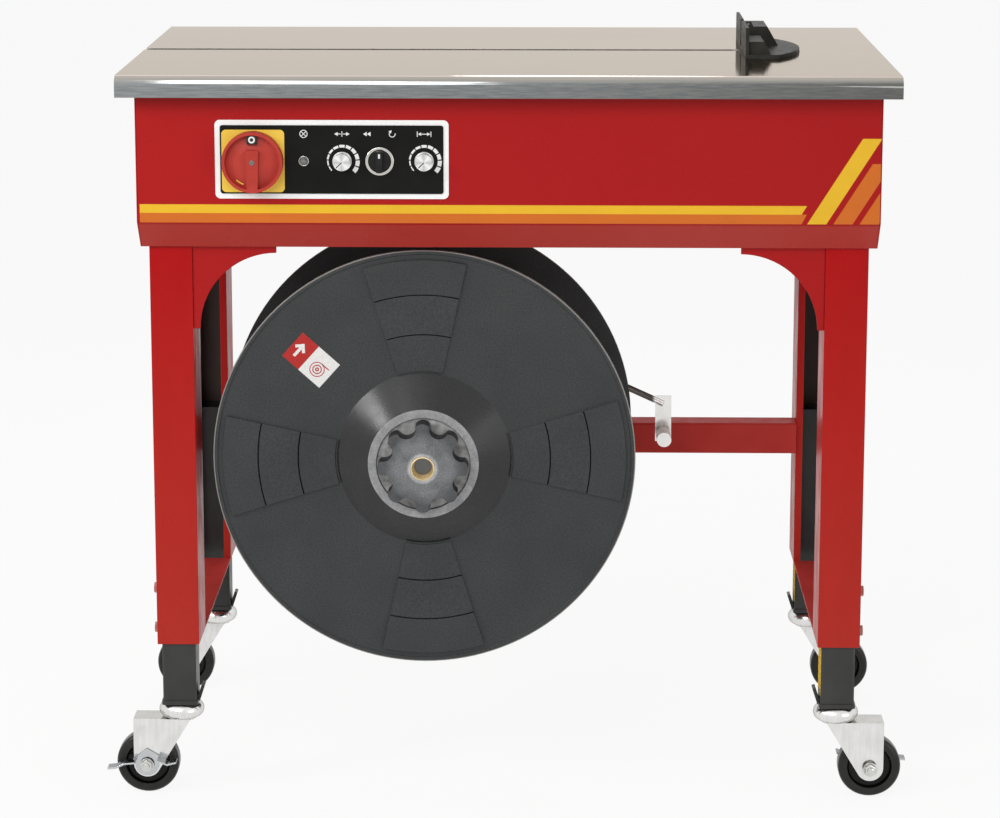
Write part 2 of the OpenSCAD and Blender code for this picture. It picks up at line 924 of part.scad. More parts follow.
// Section of a wheel, drawn with the radius along X and the axle along Y
module wheel_section() {
  shoulder = 6;
  tyre_in = axle_z - 13;
  web_half = 6;
  translate([tyre_in, -wheel_w / 2 + shoulder]) square([axle_z - tyre_in, wheel_w - 2 * shoulder]);
  translate([tyre_in + 2, -wheel_w / 2]) square([axle_z - tyre_in - 2 - shoulder, wheel_w]);
  for (y = [-1, 1])
    translate([axle_z - shoulder, y * (wheel_w / 2 - shoulder)]) circle(shoulder);
  translate([axle_r + fit, -web_half]) square([tyre_in + over - axle_r - fit, 2 * web_half]);
  translate([axle_r + fit, -hub_half]) square([6, 2 * hub_half]);
}

module wheel() {
  color(black)
    translate([caster_trail, 0, axle_z])
      rotate([90, 0, 0]) rotate_extrude() wheel_section();
}

module caster_wheel_front_left() { at_caster(-1, -1) wheel(); }
module caster_wheel_front_right() { at_caster(1, -1) wheel(); }
module caster_wheel_rear_left() { at_caster(-1, 1) wheel(); }
module caster_wheel_rear_right() { at_caster(1, 1) wheel(); }

// Foot brake: a cheek on the axle with a wing to each side
module brake_lever(side) {
  boss_r = 14;
  peak = 20;
  wing_d = 16;
  wing_in = 13;
  short_reach = lever_reach * 0.8;
  lever_y = fork_out + gap;
  long_wing = [[wing_in, 5], [lever_reach * 0.55, 4], [lever_reach * 0.78, -1], [lever_reach, -2]];
  short_wing = [[-short_reach, 6], [-short_reach * 0.7, 3], [-short_reach * 0.5, 6], [-wing_in, 8]];
  color(zinc)
    at_caster(side, -1)
      translate([caster_trail, lever_y, axle_z])
        difference() {
          union() {
            translate([0, lever_sheet, 0])
              towards_front(lever_sheet) {
                circle(boss_r);
                polygon([[-boss_r, 0], [boss_r, 0], [wing_in + 4, 7], [0, peak], [-wing_in - 4, 10]]);
              }
            for (line = [long_wing, short_wing])
              translate([0, wing_d, 0])
                towards_front(wing_d) polygon(sheet_outline(line, lever_sheet));
          }
          translate([0, wing_d + over, 0]) front_cylinder(wing_d + 2 * over, axle_r + fit);
          translate([0, wing_d + over, 0])
            front_cylinder(wing_d + over - lever_sheet, bolt_head_r + 2);
        }
}

module brake_lever_left() { brake_lever(-1); }
module brake_lever_right() { brake_lever(1); }

// Reel

// Places shapes on the reel's axis, with +Z pointing to the front from the given depth
module on_reel(y) {
  translate([reel_x, y, reel_z]) rotate([90, 0, 0]) children();
}

// Corners at the foot of a sector's step: a narrow seam, then the rise
function step_foot(step) =
  [for (corner = [[-seam_w, 0], [-seam_w, -seam_d], [0, -seam_d], [0, step_rise]])
    [step_rs[step], step_tops[step - 1]] + corner];

// Four raised sectors, each in three steps that rise towards the rim
module raised_sectors() {
  root = -flange_t / 2;
  for (quarter = [0:3])
    rotate([0, 0, sector_turn - sector_angle / 2 + 90 * quarter])
      rotate_extrude(angle = sector_angle, $fn = 128)
        polygon(concat([[step_rs[0], root], [step_rs[0], step_tops[0]]], step_foot(1), step_foot(2),
                       [[step_rs[3], step_tops[2]], [step_rs[3], root]]));
}

// Section of the raised rim around a flange, from its inner edge outwards
rim_line = [[flange_r - rim_w, 0], [flange_r - rim_w, rim_h], [flange_r, rim_h], [flange_r, -flange_t]];

module front_flange() {
  bore = shaft_r + gap;
  cone_in = cone_r - cone_wall - 1;
  color(black)
    on_reel(reel_y) {
      rotate_extrude($fn = 128)
        polygon(concat(
          [[bore, cone_h], [ring_r, cone_h], [cone_r, 0]],
          rim_line,
          [[cone_in, -flange_t], [ring_r - 2 * cone_wall, cone_h - cone_wall],
           [hub_r, cone_h - cone_wall], [hub_r, -flange_t - spigot], [bore, -flange_t - spigot]]));
      raised_sectors();
    }
}

module hub_ring() {
  color("dimgray")
    on_reel(reel_y)
      translate([0, 0, cone_h])
        difference() {
          cylinder(h = ring_h, r = ring_r);
          translate([0, 0, -over]) cylinder(h = ring_h + 2 * over, r = ring_bore);
        }
}

module reel_knob() {
  notch_at = knob_r - lobe_r * 0.3;
  color(black)
    on_reel(reel_y)
      translate([0, 0, cone_h + gap])
        linear_extrude(knob_h)
          difference() {
            union() {
              circle(knob_r - lobe_r);
              for (i = [0:knob_lobes - 1])
                rotate(i * 360 / knob_lobes) translate([knob_r - lobe_r, 0]) circle(lobe_r);
            }
            for (i = [0:knob_lobes - 1])
              rotate((i + 0.5) * 360 / knob_lobes) translate([notch_at, 0]) circle(notch_at - valley_r);
            circle(bush_r + fit);
          }
}

module knob_bush() {
  color("goldenrod")
    on_reel(reel_y)
      translate([0, 0, cone_h + gap])
        difference() {
          cylinder(h = knob_h + 1, r = bush_r);
          translate([0, 0, -over]) cylinder(h = knob_h + 1 + 2 * over, r = shaft_r + fit);
        }
}

module reel_core() {
  core_len = coil_w - gap;
  color(black)
    on_reel(rear_flange_y)
      difference() {
        union() {
          difference() {
            cylinder(h = core_len, r = core_r, $fn = 128);
            translate([0, 0, web_t]) cylinder(h = coil_w, r = core_r - core_wall, $fn = 128);
          }
          translate([0, 0, core_len - web_in - web_t]) cylinder(h = web_t, r = core_r - core_wall / 2);
          cylinder(h = core_len - web_in, r = hub_r);
        }
        translate([0, 0, -over]) cylinder(h = coil_w, r = shaft_r + fit);
      }
}

module rear_flange() {
  bore = shaft_r + fit;
  color(black)
    on_reel(rear_face_y)
      mirror([0, 0, 1]) {
        rotate_extrude($fn = 128)
          polygon(concat([[bore, rear_hub_h], [rear_hub_r, rear_hub_h], [rear_hub_r, 0]],
                         rim_line, [[bore, -flange_t]]));
        raised_sectors();
      }
}

// Fixed shaft with a collar behind the reel; it is let into the stand
module reel_shaft() {
  shaft_end = stand_y + stand_s;
  color(steel) {
    on_reel(shaft_end) cylinder(h = shaft_end - reel_y + shaft_tip, r = shaft_r);
    on_reel(stand_y) cylinder(h = stand_room - gap, r = collar_r);
  }
}

// Square tube that hangs from the pan, braced to the rear beam by a shorter tube
module reel_stand() {
  stub_y = stand_y + stand_s;
  stand_len = body_z - beam_top + beam_s;
  bore_s = stand_s - 2 * stand_wall;
  color(red)
    difference() {
      union() {
        translate([reel_x, stand_y + stand_s / 2, beam_top - beam_s])
          linear_extrude(stand_len)
            difference() {
              square(stand_s, center = true);
              square(bore_s, center = true);
            }
        translate([reel_x, beam_y, beam_top - beam_s / 2])
          towards_front(beam_y - stub_y + over)
            difference() {
              square([stand_s, beam_s], center = true);
              square([bore_s, beam_s - 2 * stand_wall], center = true);
            }
        translate([reel_x, stand_y + over, pivot_z]) front_cylinder(arm_boss_w + 3 + over, pivot_r);
      }
      on_reel(stub_y + over) cylinder(h = stand_s + 2 * over, r = shaft_r + fit);
    }
}

module brake_arm() {
  plate_y = arm_y + arm_plate_t / 2;
  pin_y = plate_y - arm_plate_t - roller_w - 2 * gap;
  color(zinc)
    difference() {
      union() {
        translate([reel_x, arm_y + arm_boss_w / 2, pivot_z]) front_cylinder(arm_boss_w, arm_boss_r);
        translate([reel_x, arm_y, pivot_z])
          rotate([0, 90 + arm_slope, 0]) cylinder(h = arm_len, r = arm_rod_r);
        translate([arm_end_x - arm_plate_w / 2, plate_y - arm_plate_t, arm_end_z + 10 - arm_plate_h])
          cube([arm_plate_w, arm_plate_t, arm_plate_h]);
        translate([arm_end_x, plate_y, arm_end_z - roller_drop])
          front_cylinder(plate_y - pin_y + roller_head_t, roller_pin_r);
        translate([arm_end_x, pin_y, arm_end_z - roller_drop]) front_cylinder(roller_head_t, roller_r);
      }
      translate([reel_x, stand_y, pivot_z]) front_cylinder(arm_boss_w + over, pivot_r + fit);
    }
}

module arm_roller() {
  color("white")
    translate([arm_end_x, arm_y - arm_plate_t / 2 - gap, arm_end_z - roller_drop])
      difference() {
        front_cylinder(roller_w, roller_r);
        translate([0, over, 0]) front_cylinder(roller_w + 2 * over, roller_pin_r + fit);
      }
}

// Strap guide and trough

// Block behind a fin, with a slanted right end
module guide_block(y, w, h) {
  slant = (h - guide_foot_h) * block_slant;
  translate([guide_x, y + block_d, foot_z])
    towards_front(block_d)
      polygon([[0, 0], [w, 0], [w, foot_top - foot_z], [w - slant, h + table_sheet], [0, h + table_sheet]]);
}

// Small drilled tab on the rear block, beside its fin
module guide_tab() {
  tab_w = 16;
  tab_h = 6;
  tab_t = 3;
  translate([guide_x, slot_w / 2 + tab_t, table_h + rear_block_h - over])
    towards_front(tab_t)
      difference() {
        polygon([[0, 0], [tab_w, 0], [tab_w - tab_h / 2, tab_h + over], [0, tab_h + over]]);
        translate([tab_w * 0.6, tab_h / 2 + over]) circle(tab_h / 4);
      }
}

module strap_guide() {
  half = (guide_len - slot_w) / 2;
  color(black) {
    translate([0, 0, foot_z]) linear_extrude(foot_top - foot_z) guide_plan(0);
    guide_block(block_inset - guide_len / 2, front_block_w, front_block_h);
    guide_block(slot_w / 2, rear_block_w, rear_block_h);
    guide_tab();
    for (y = [-guide_len / 2, slot_w / 2])
      translate([guide_x, y, foot_z]) cube([fin_t, half, fin_h + table_sheet]);
  }
}

// Folded channel under the slot, with a seat plate for the guide at its right end
module strap_trough() {
  trough_x = -table_w / 2 + table_sheet + gap;
  channel_w = slot_w + 2 * trough_wall;
  seat_len = guide_reach + 2 * guide_margin;
  color(steel) {
    translate([trough_x, 0, 0])
      difference() {
        translate([0, -channel_w / 2, trough_z])
          cube([guide_x - guide_margin - trough_x, channel_w, trough_depth + trough_wall]);
        translate([-over, -slot_w / 2, trough_z + trough_wall])
          cube([guide_x - trough_x + 2 * over, slot_w, trough_depth + over]);
      }
    translate([guide_x - guide_margin, -guide_len / 2 - guide_margin, table_under - guide_seat])
      cube([seat_len, guide_len + 2 * guide_margin, guide_seat]);
  }
}

// Drive inside the body

module on_drive(x, y) {
  translate([x, y, drive_z]) rotate([0, 90, 0]) children();
}

module drive_motor() {
  color("slategray") {
    on_drive(motor_x, motor_y) cylinder(h = motor_len, r = motor_r);
    on_drive(motor_x - motor_bell, motor_y) cylinder(h = motor_len + 2 * motor_bell, r = motor_bell_r);
    on_drive(pulley_x - shaft_end_out, motor_y)
      cylinder(h = motor_x - pulley_x + shaft_end_out, r = motor_shaft_r);
    translate([motor_x + motor_foot_in, motor_y - motor_foot_w / 2, pan_top])
      cube([motor_len - 2 * motor_foot_in, motor_foot_w, drive_z - pan_top - motor_r * 0.6]);
  }
}

module motor_pulley() {
  color(steel)
    on_drive(pulley_x, motor_y)
      difference() {
        cylinder(h = pulley_w, r = motor_pulley_r);
        translate([0, 0, -over]) cylinder(h = pulley_w + 2 * over, r = motor_shaft_r + fit);
      }
}

module cam_shaft() {
  color(steel) {
    on_drive(pulley_x - shaft_end_out, cam_y)
      cylinder(h = cam_end - pulley_x + shaft_end_out, r = cam_shaft_r);
    on_drive(pulley_x, cam_y) cylinder(h = pulley_w, r = cam_pulley_r);
    for (i = [0:cam_lobes - 1])
      on_drive(head_x + head_plate + 8 + i * cam_lobe_pitch, cam_y)
        rotate([0, 0, i * 360 / cam_lobes])
          translate([cam_lobe_off, 0, 0]) cylinder(h = cam_lobe_w, r = cam_lobe_r);
  }
}

module belt_line(grow) {
  hull() {
    translate([motor_y, 0]) circle(motor_pulley_r + grow, $fn = 48);
    translate([cam_y, 0]) circle(cam_pulley_r + grow, $fn = 48);
  }
}

module drive_belt() {
  color(black)
    translate([pulley_x + 2, 0, drive_z])
      along_x(pulley_w - 4)
        difference() {
          belt_line(belt_t + gap);
          belt_line(gap);
        }
}

module bearing_blocks() {
  color("dimgray")
    for (x = bearing_xs)
      difference() {
        translate([x, cam_y - bearing_d / 2, pan_top]) cube([bearing_w, bearing_d, bearing_h]);
        on_drive(x - over, cam_y) cylinder(h = bearing_w + 2 * over, r = cam_shaft_r + fit);
      }
}

// Welding and gripping head under the trough, on two side plates over the cam shaft
module sealing_head() {
  color("lightslategray")
    difference() {
      union() {
        for (x = [head_x, head_x + head_w - head_plate])
          translate([x, -head_d / 2, pan_top]) cube([head_plate, head_d, head_top - pan_top]);
        translate([head_x, -head_d / 2, head_low]) cube([head_w, head_d, head_top - head_low]);
      }
      on_drive(head_x - over, cam_y) cylinder(h = head_w + 2 * over, r = cam_shaft_r + 2);
    }
}

module transformer() {
  foot_w = iron_w + 2 * iron_foot;
  color("dimgray")
    translate([transformer_x, transformer_y, pan_top]) {
      translate([-iron_w / 2, -iron_d / 2, 0]) cube([iron_w, iron_d, iron_h]);
      translate([-winding_w / 2, -winding_d / 2, (iron_h - winding_h) / 2])
        cube([winding_w, winding_d, winding_h]);
      translate([-foot_w / 2, -iron_d / 2, 0]) cube([foot_w, iron_d, iron_foot_t]);
    }
}

module control_board() {
  board_y = front_y + cover_sheet + post_len;
  color("darkgreen")
    translate([panel_x, 0, panel_z]) {
      translate([-board_w / 2, board_y, -board_h / 2]) cube([board_w, board_t, board_h]);
      for (x = [-1, 1])
        for (z = [-1, 1])
          translate([x * (board_w / 2 - post_in), board_y, z * (board_h / 2 - post_in)])
            front_cylinder(post_len, post_r);
      for (i = [0:relays - 1])
        translate([-board_w / 2 + relay_in + i * relay_pitch, board_y + board_t, -relay_h / 2])
          cube([relay_w, relay_d, relay_h]);
    }
}

table_top();
front_cover();
rear_cover();
left_cover();
right_cover();
chassis_plate();
panel_bezel();
control_plate();
main_switch_plate();
selector_bezel();
heater_lamp();
leg_front_left();
leg_front_right();
leg_rear_left();
leg_rear_right();
leg_tie_left();
leg_tie_right();
rear_beam();
leg_gussets();
leg_clamp_bolts();
reel_stand();
reel_shaft();
strap_guide();
strap_trough();
drive_motor();
drive_belt();
bearing_blocks();
sealing_head();
transformer();
control_board();
power_inlet();
cover_screws();
inner_leg_front_left();
inner_leg_front_right();
inner_leg_rear_left();
inner_leg_rear_right();
caster_fork_front_left();
caster_fork_front_right();
caster_fork_rear_left();
caster_fork_rear_right();
caster_wheel_front_left();
caster_wheel_front_right();
caster_wheel_rear_left();
caster_wheel_rear_right();
brake_lever_left();
brake_lever_right();
rear_flange();
reel_core();
front_flange();
hub_ring();
reel_knob();
knob_bush();
brake_arm();
arm_roller();
main_switch_knob();
tension_dial();
feed_dial();
selector_knob();
motor_pulley();
cam_shaft();
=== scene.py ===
import json
import math

import bpy
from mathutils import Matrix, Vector

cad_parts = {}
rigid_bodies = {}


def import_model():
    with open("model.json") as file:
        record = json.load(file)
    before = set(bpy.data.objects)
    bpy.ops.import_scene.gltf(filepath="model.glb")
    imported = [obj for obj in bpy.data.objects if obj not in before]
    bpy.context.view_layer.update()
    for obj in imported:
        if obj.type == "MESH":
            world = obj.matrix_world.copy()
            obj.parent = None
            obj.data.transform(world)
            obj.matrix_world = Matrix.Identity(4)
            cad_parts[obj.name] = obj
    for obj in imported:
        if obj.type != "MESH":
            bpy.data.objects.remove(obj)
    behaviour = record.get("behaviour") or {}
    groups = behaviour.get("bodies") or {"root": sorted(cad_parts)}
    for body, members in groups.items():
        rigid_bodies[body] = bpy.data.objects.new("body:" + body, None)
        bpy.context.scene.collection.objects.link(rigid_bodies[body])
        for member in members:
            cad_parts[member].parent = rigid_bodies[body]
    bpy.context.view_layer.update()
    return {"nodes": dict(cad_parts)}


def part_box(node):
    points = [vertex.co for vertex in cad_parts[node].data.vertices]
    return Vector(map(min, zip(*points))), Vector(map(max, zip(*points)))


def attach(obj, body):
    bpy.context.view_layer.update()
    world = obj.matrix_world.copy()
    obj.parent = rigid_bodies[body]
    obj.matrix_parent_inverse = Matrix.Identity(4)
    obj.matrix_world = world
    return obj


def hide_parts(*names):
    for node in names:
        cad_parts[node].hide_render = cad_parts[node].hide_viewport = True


bpy.ops.object.select_all(action="SELECT")
bpy.ops.object.delete()
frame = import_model()
parts = frame["nodes"]


# The studio is a wide white floor under an even white surround, with four soft light panels.
# The camera, mirrors and clear plastic see plain white, and the floor keeps the machine's shadow.
scene = bpy.context.scene
scene.view_settings.view_transform = "Standard"
surround_light = 0.44
floor_reach = 30.0
floor_drop = 0.0004
floor_white = 0.90
floor_grey = 0.86
floor_rough = 0.9


def sees_white(tree):
    """1 for rays from the camera, a mirror or a clear plastic, and 0 for plain light."""
    path = tree.nodes.new("ShaderNodeLightPath")
    seen = path.outputs["Is Camera Ray"]
    for ray in ("Is Glossy Ray", "Is Transmission Ray"):
        either = tree.nodes.new("ShaderNodeMath")
        either.operation = "MAXIMUM"
        tree.links.new(seen, either.inputs[0])
        tree.links.new(path.outputs[ray], either.inputs[1])
        seen = either.outputs[0]
    return seen


surround = bpy.data.worlds.new("white_surround")
surround.use_nodes = True
scene.world = surround
sky = surround.node_tree
soft = sky.nodes["Background"]
soft.inputs["Color"].default_value = (1, 1, 1, 1)
soft.inputs["Strength"].default_value = surround_light
plain = sky.nodes.new("ShaderNodeBackground")
plain.inputs["Color"].default_value = (1, 1, 1, 1)
plain.inputs["Strength"].default_value = 1.0
choice = sky.nodes.new("ShaderNodeMixShader")
sky.links.new(sees_white(sky), choice.inputs["Fac"])
sky.links.new(soft.outputs["Background"], choice.inputs[1])
sky.links.new(plain.outputs["Background"], choice.inputs[2])
sky.links.new(choice.outputs["Shader"], sky.nodes["World Output"].inputs["Surface"])

bpy.ops.mesh.primitive_plane_add(size=floor_reach, location=(0, 0, -floor_drop))
floor = bpy.context.object
floor.name = "studio_floor"
floor_paint = bpy.data.materials.new("floor_paint")
floor_paint.use_nodes = True
ground = floor_paint.node_tree
matt = ground.nodes["Principled BSDF"]
matt.inputs["Base Color"].default_value = (floor_grey, floor_grey, floor_grey, 1)
matt.inputs["Roughness"].default_value = floor_rough
glow = ground.nodes.new("ShaderNodeEmission")
glow.inputs["Strength"].default_value = 1.0
share = ground.nodes.new("ShaderNodeMath")
share.operation = "MULTIPLY"
share.inputs[1].default_value = floor_white
ground.links.new(sees_white(ground), share.inputs[0])
blend = ground.nodes.new("ShaderNodeMixShader")
ground.links.new(share.outputs[0], blend.inputs["Fac"])
ground.links.new(matt.outputs["BSDF"], blend.inputs[1])
ground.links.new(glow.outputs["Emission"], blend.inputs[2])
ground.links.new(blend.outputs["Shader"], ground.nodes["Material Output"].inputs["Surface"])
floor.data.materials.append(floor_paint)


def light_panel(name, place, aim, size, watts):
    """A square soft light that looks from its place towards a point on the machine."""
    panel = bpy.data.lights.new(name, "AREA")
    panel.size = size
    panel.energy = watts
    stand = bpy.data.objects.new(name, panel)
    stand.location = place
    stand.rotation_euler = (Vector(aim) - Vector(place)).to_track_quat("-Z", "Y").to_euler()
    scene.collection.objects.link(stand)


light_panel("key_panel", place=(-0.95, -2.6, 2.35), aim=(-0.05, -0.25, 0.5), size=1.7, watts=36)
light_panel("side_panel", place=(2.6, -2.3, 0.9), aim=(0, 0, 0.5), size=1.6, watts=18)
light_panel("left_panel", place=(-2.1, -1.3, 1.75), aim=(-0.15, -0.24, 0.47), size=0.6, watts=17)
light_panel("rim_panel", place=(0.2, 1.9, 2.1), aim=(0, 0, 0.85), size=0.7, watts=10)

camera_place = (0.0452, -3.8, 1.2897)
camera_dip = 10.965
camera_turn = 1.047
camera_lens = 112.33
camera_film = 36.0
camera_shift = (0.0089, -0.1)
camera = bpy.data.objects.new("camera", bpy.data.cameras.new("camera"))
camera.location = camera_place
camera.rotation_euler = (math.radians(90 - camera_dip), 0, math.radians(camera_turn))
camera.data.lens = camera_lens
camera.data.sensor_width = camera_film
camera.data.shift_x, camera.data.shift_y = camera_shift
scene.collection.objects.link(camera)
scene.camera = camera


# The table top is one stainless sheet, folded down along its edges and slit along for the strap.
# Its brushing runs the long way. The folded edge has mill scratches and is painted darker and bluish, a
# painted reflection of dark surroundings.
def grey(level):
    """A neutral colour."""
    return (level, level, level)


def socket_of(made, name):
    """One of the inputs of a finish's shader."""
    return made.node_tree.nodes["Principled BSDF"].inputs[name]


def finish(name, colour, roughness, metallic=0.0, specular=0.5, glancing=(1, 1, 1), bending=1.5):
    """A new surface with one even colour, before its texture is added."""
    made = bpy.data.materials.new(name)
    made.use_nodes = True
    socket_of(made, "Base Color").default_value = (*colour, 1)
    socket_of(made, "Roughness").default_value = roughness
    socket_of(made, "Metallic").default_value = metallic
    socket_of(made, "Specular IOR Level").default_value = specular
    socket_of(made, "Specular Tint").default_value = (*glancing, 1)
    socket_of(made, "IOR").default_value = bending
    return made


def spread(made, size, middle=(0, 0, 0)):
    """Coordinates on the object, counted in lumps of the given size, from the given middle."""
    tree = made.node_tree
    coords = tree.nodes.new("ShaderNodeTexCoord")
    place = tree.nodes.new("ShaderNodeMapping")
    for axis in range(3):
        place.inputs["Scale"].default_value[axis] = 1 / size[axis]
        place.inputs["Location"].default_value[axis] = -middle[axis] / size[axis]
    tree.links.new(coords.outputs["Object"], place.inputs["Vector"])
    return place.outputs["Vector"]


def grain(made, size, detail=2.0):
    """Cloudy noise with lumps of one size, or of three sizes along X, Y and Z."""
    lumps = size if isinstance(size, tuple) else (size, size, size)
    noise = made.node_tree.nodes.new("ShaderNodeTexNoise")
    noise.inputs["Scale"].default_value = 1.0
    noise.inputs["Detail"].default_value = detail
    made.node_tree.links.new(spread(made, lumps), noise.inputs["Vector"])
    return noise.outputs["Fac"]


def rescaled(made, value, start, end, low=0.0, high=1.0):
    """A value brought from one range to another, and held at the ends of it."""
    tree = made.node_tree
    level = tree.nodes.new("ShaderNodeMapRange")
    for name, limit in (("From Min", start), ("From Max", end), ("To Min", low), ("To Max", high)):
        level.inputs[name].default_value = limit
    tree.links.new(value, level.inputs["Value"])
    return level.outputs["Result"]


def ramp_along(made, axis, start, end):
    """0 at the start and 1 at the end of a stretch along X, Y or Z."""
    tree = made.node_tree
    coords = tree.nodes.new("ShaderNodeTexCoord")
    split = tree.nodes.new("ShaderNodeSeparateXYZ")
    tree.links.new(coords.outputs["Object"], split.inputs["Vector"])
    return rescaled(made, split.outputs[axis], start, end)


def both(made, first, second):
    """The product of two patterns."""
    tree = made.node_tree
    product = tree.nodes.new("ShaderNodeMath")
    product.operation = "MULTIPLY"
    tree.links.new(first, product.inputs[0])
    tree.links.new(second, product.inputs[1])
    return product.outputs[0]


def within(made, axis, low, high, edge):
    """1 between two places along X, Y or Z and 0 outside them, with soft edges of the given width."""
    rise = ramp_along(made, axis, low, low + edge)
    fall = ramp_along(made, axis, high, high - edge)
    return both(made, rise, fall)


def shade(made, pattern, *stops):
    """Colours the surface by a pattern, and multiplies with the colour that it has by then."""
    tree = made.node_tree
    ramp = tree.nodes.new("ShaderNodeValToRGB")
    while len(ramp.color_ramp.elements) < len(stops):
        ramp.color_ramp.elements.new(0.5)
    for element, (place, colour) in zip(ramp.color_ramp.elements, stops):
        element.position = place
        element.color = (*colour, 1)
    tree.links.new(pattern, ramp.inputs["Fac"])
    base = socket_of(made, "Base Color")
    if not base.is_linked:
        tree.links.new(ramp.outputs["Color"], base)
        return
    layered = tree.nodes.new("ShaderNodeMix")
    layered.data_type = "RGBA"
    layered.blend_type = "MULTIPLY"
    layered.inputs["Factor"].default_value = 1.0
    tree.links.new(base.links[0].from_socket, layered.inputs["A"])
    tree.links.new(ramp.outputs["Color"], layered.inputs["B"])
    tree.links.new(layered.outputs["Result"], base)


# Nearly all of the noise lies between these two levels.
grain_low = 0.3
grain_high = 0.7


def mottle(made, size, dark, light, detail=2.0):
    """Clouds the colour between two shades, in lumps of the given size."""
    shade(made, grain(made, size, detail), (grain_low, dark), (grain_high, light))


def gloss(made, size, smooth, dull, detail=2.0):
    """Varies the roughness, in lumps of the given size."""
    level = rescaled(made, grain(made, size, detail), grain_low, grain_high, smooth, dull)
    made.node_tree.links.new(level, socket_of(made, "Roughness"))


def relief(made, pattern, height):
    """Raises the surface by a pattern, by up to the given height."""
    tree = made.node_tree
    bump = tree.nodes.new("ShaderNodeBump")
    bump.inputs["Strength"].default_value = 1.0
    bump.inputs["Distance"].default_value = height
    normal = socket_of(made, "Normal")
    if normal.is_linked:
        tree.links.new(normal.links[0].from_socket, bump.inputs["Normal"])
    tree.links.new(pattern, bump.inputs["Height"])
    tree.links.new(bump.outputs["Normal"], normal)


def peel(made, size, height, detail=2.0):
    """Roughens the surface by up to the given height, in lumps of the given size."""
    relief(made, grain(made, size, detail), height)


def dress(made, *names):
    """Gives a finish to the named parts."""
    for name in names:
        parts[name].material_slots[0].material = made


weld_gap = 1e-6
edge_steps = 2
sharp_angle = 40


def break_edges(*names, width):
    """Breaks the sharp edges of the named parts, as a press, a mould or a file leaves them."""
    for name in names:
        merged = parts[name].modifiers.new("merged", "WELD")
        merged.merge_threshold = weld_gap
        broken = parts[name].modifiers.new("broken_edge", "BEVEL")
        broken.width = width
        broken.segments = edge_steps
        broken.limit_method = "ANGLE"
        broken.angle_limit = math.radians(sharp_angle)
        broken.loop_slide = False
        broken.harden_normals = True


table_low, table_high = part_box("table_top")
bend_start = 0.0005
bend_depth = 0.008
bend_highlight_w = 0.0009
bend_highlight_soft = 0.0001
brushed = finish(
    "brushed_stainless", (0.54, 0.485, 0.425), roughness=0.14, metallic=1.0, glancing=(0.74, 0.68, 0.61))
fold = ramp_along(brushed, "Z", table_high.z - bend_start, table_high.z - bend_depth)
to_right = ramp_along(brushed, "X", table_low.x, table_high.x)
mottle(brushed, (0.12, 0.0009, 0.0009), dark=(0.50, 0.452, 0.397), light=(0.58, 0.518, 0.455), detail=3.0)
mottle(brushed, (0.5, 0.18, 0.1), dark=(0.93, 0.94, 0.95), light=(1, 1, 1))
mottle(brushed, 0.0016, dark=grey(0.94), light=(1, 1, 1))
# Painted reflection: the folded edge is painted darker and bluish grey, for the dark room that it would
# mirror.
shade(brushed, fold, (0.0, (1, 1, 1)), (1.0, (0.62, 0.71, 0.80)))
# Painted highlight: a thin pale line along the top of the bend.
bend_highlight = within(brushed, "Z", table_high.z - bend_highlight_w - bend_highlight_soft, table_high.z, bend_highlight_soft)
shade(brushed, bend_highlight, (0.0, (1, 1, 1)), (1.0, (1.5, 1.55, 1.65)))
scratches = both(brushed, fold, grain(brushed, (0.025, 0.003, 0.0018), 4.0))
shade(brushed, scratches, (0.40, (1, 1, 1)), (0.66, (0.72, 0.76, 0.80)))
# Painted reflection: the fold is painted darker towards its right end, where it mirrors less light.
right_reflection_shade = both(brushed, fold, to_right)
shade(brushed, right_reflection_shade, (0.0, (1, 1, 1)), (0.5, (0.84, 0.84, 0.83)), (1.0, (0.50, 0.48, 0.45)))
gloss(brushed, (0.05, 0.0006, 0.0006), smooth=0.06, dull=0.13, detail=3.0)
peel(brushed, (0.06, 0.0005, 0.0005), height=0.000003, detail=3.0)
dress(brushed, "table_top")
break_edges("table_top", width=0.0006)


# The strap guide is moulded in black nylon: two fins in line across the slot, on a round foot.
# The foot stands on the trough's seat plate and fills its opening in the table.
nylon = finish("black_nylon", (0.036, 0.035, 0.031), roughness=0.34, bending=1.06)
mottle(nylon, 0.02, dark=(0.028, 0.027, 0.024), light=(0.046, 0.045, 0.040))
gloss(nylon, 0.008, smooth=0.26, dull=0.42)
peel(nylon, 0.0008, height=0.000006)
dress(nylon, "strap_guide")
break_edges("strap_guide", width=0.0007)


# The strap trough is a folded channel of zinc-coated sheet, fixed under the table along the slot.
# Its seat plate carries the strap guide. It shows only as a shadow through the slot.
zinc_sheet = finish("zinc_sheet", (0.5, 0.5, 0.49), roughness=0.4, metallic=1.0)
mottle(zinc_sheet, 0.012, dark=(0.4, 0.41, 0.42), light=(0.58, 0.58, 0.57), detail=4.0)
gloss(zinc_sheet, 0.02, smooth=0.3, dull=0.5)
peel(zinc_sheet, 0.003, height=0.00002)
dress(zinc_sheet, "strap_trough")


# The body is four folded covers of sheet steel, sprayed red inside and out, over a chassis pan.
# The gloss paint has a fine orange peel, and below the lower fold it is painted paler, a painted reflection
# of the white floor. Screws hold the covers.
def cover_with(made, pattern, colour):
    """Covers the colour so far with another one, where the pattern is 1."""
    tree = made.node_tree
    base = socket_of(made, "Base Color")
    cover = tree.nodes.new("ShaderNodeMix")
    cover.data_type = "RGBA"
    cover.inputs["B"].default_value = (*colour, 1)
    tree.links.new(pattern, cover.inputs["Factor"])
    tree.links.new(base.links[0].from_socket, cover.inputs["A"])
    tree.links.new(cover.outputs["Result"], base)


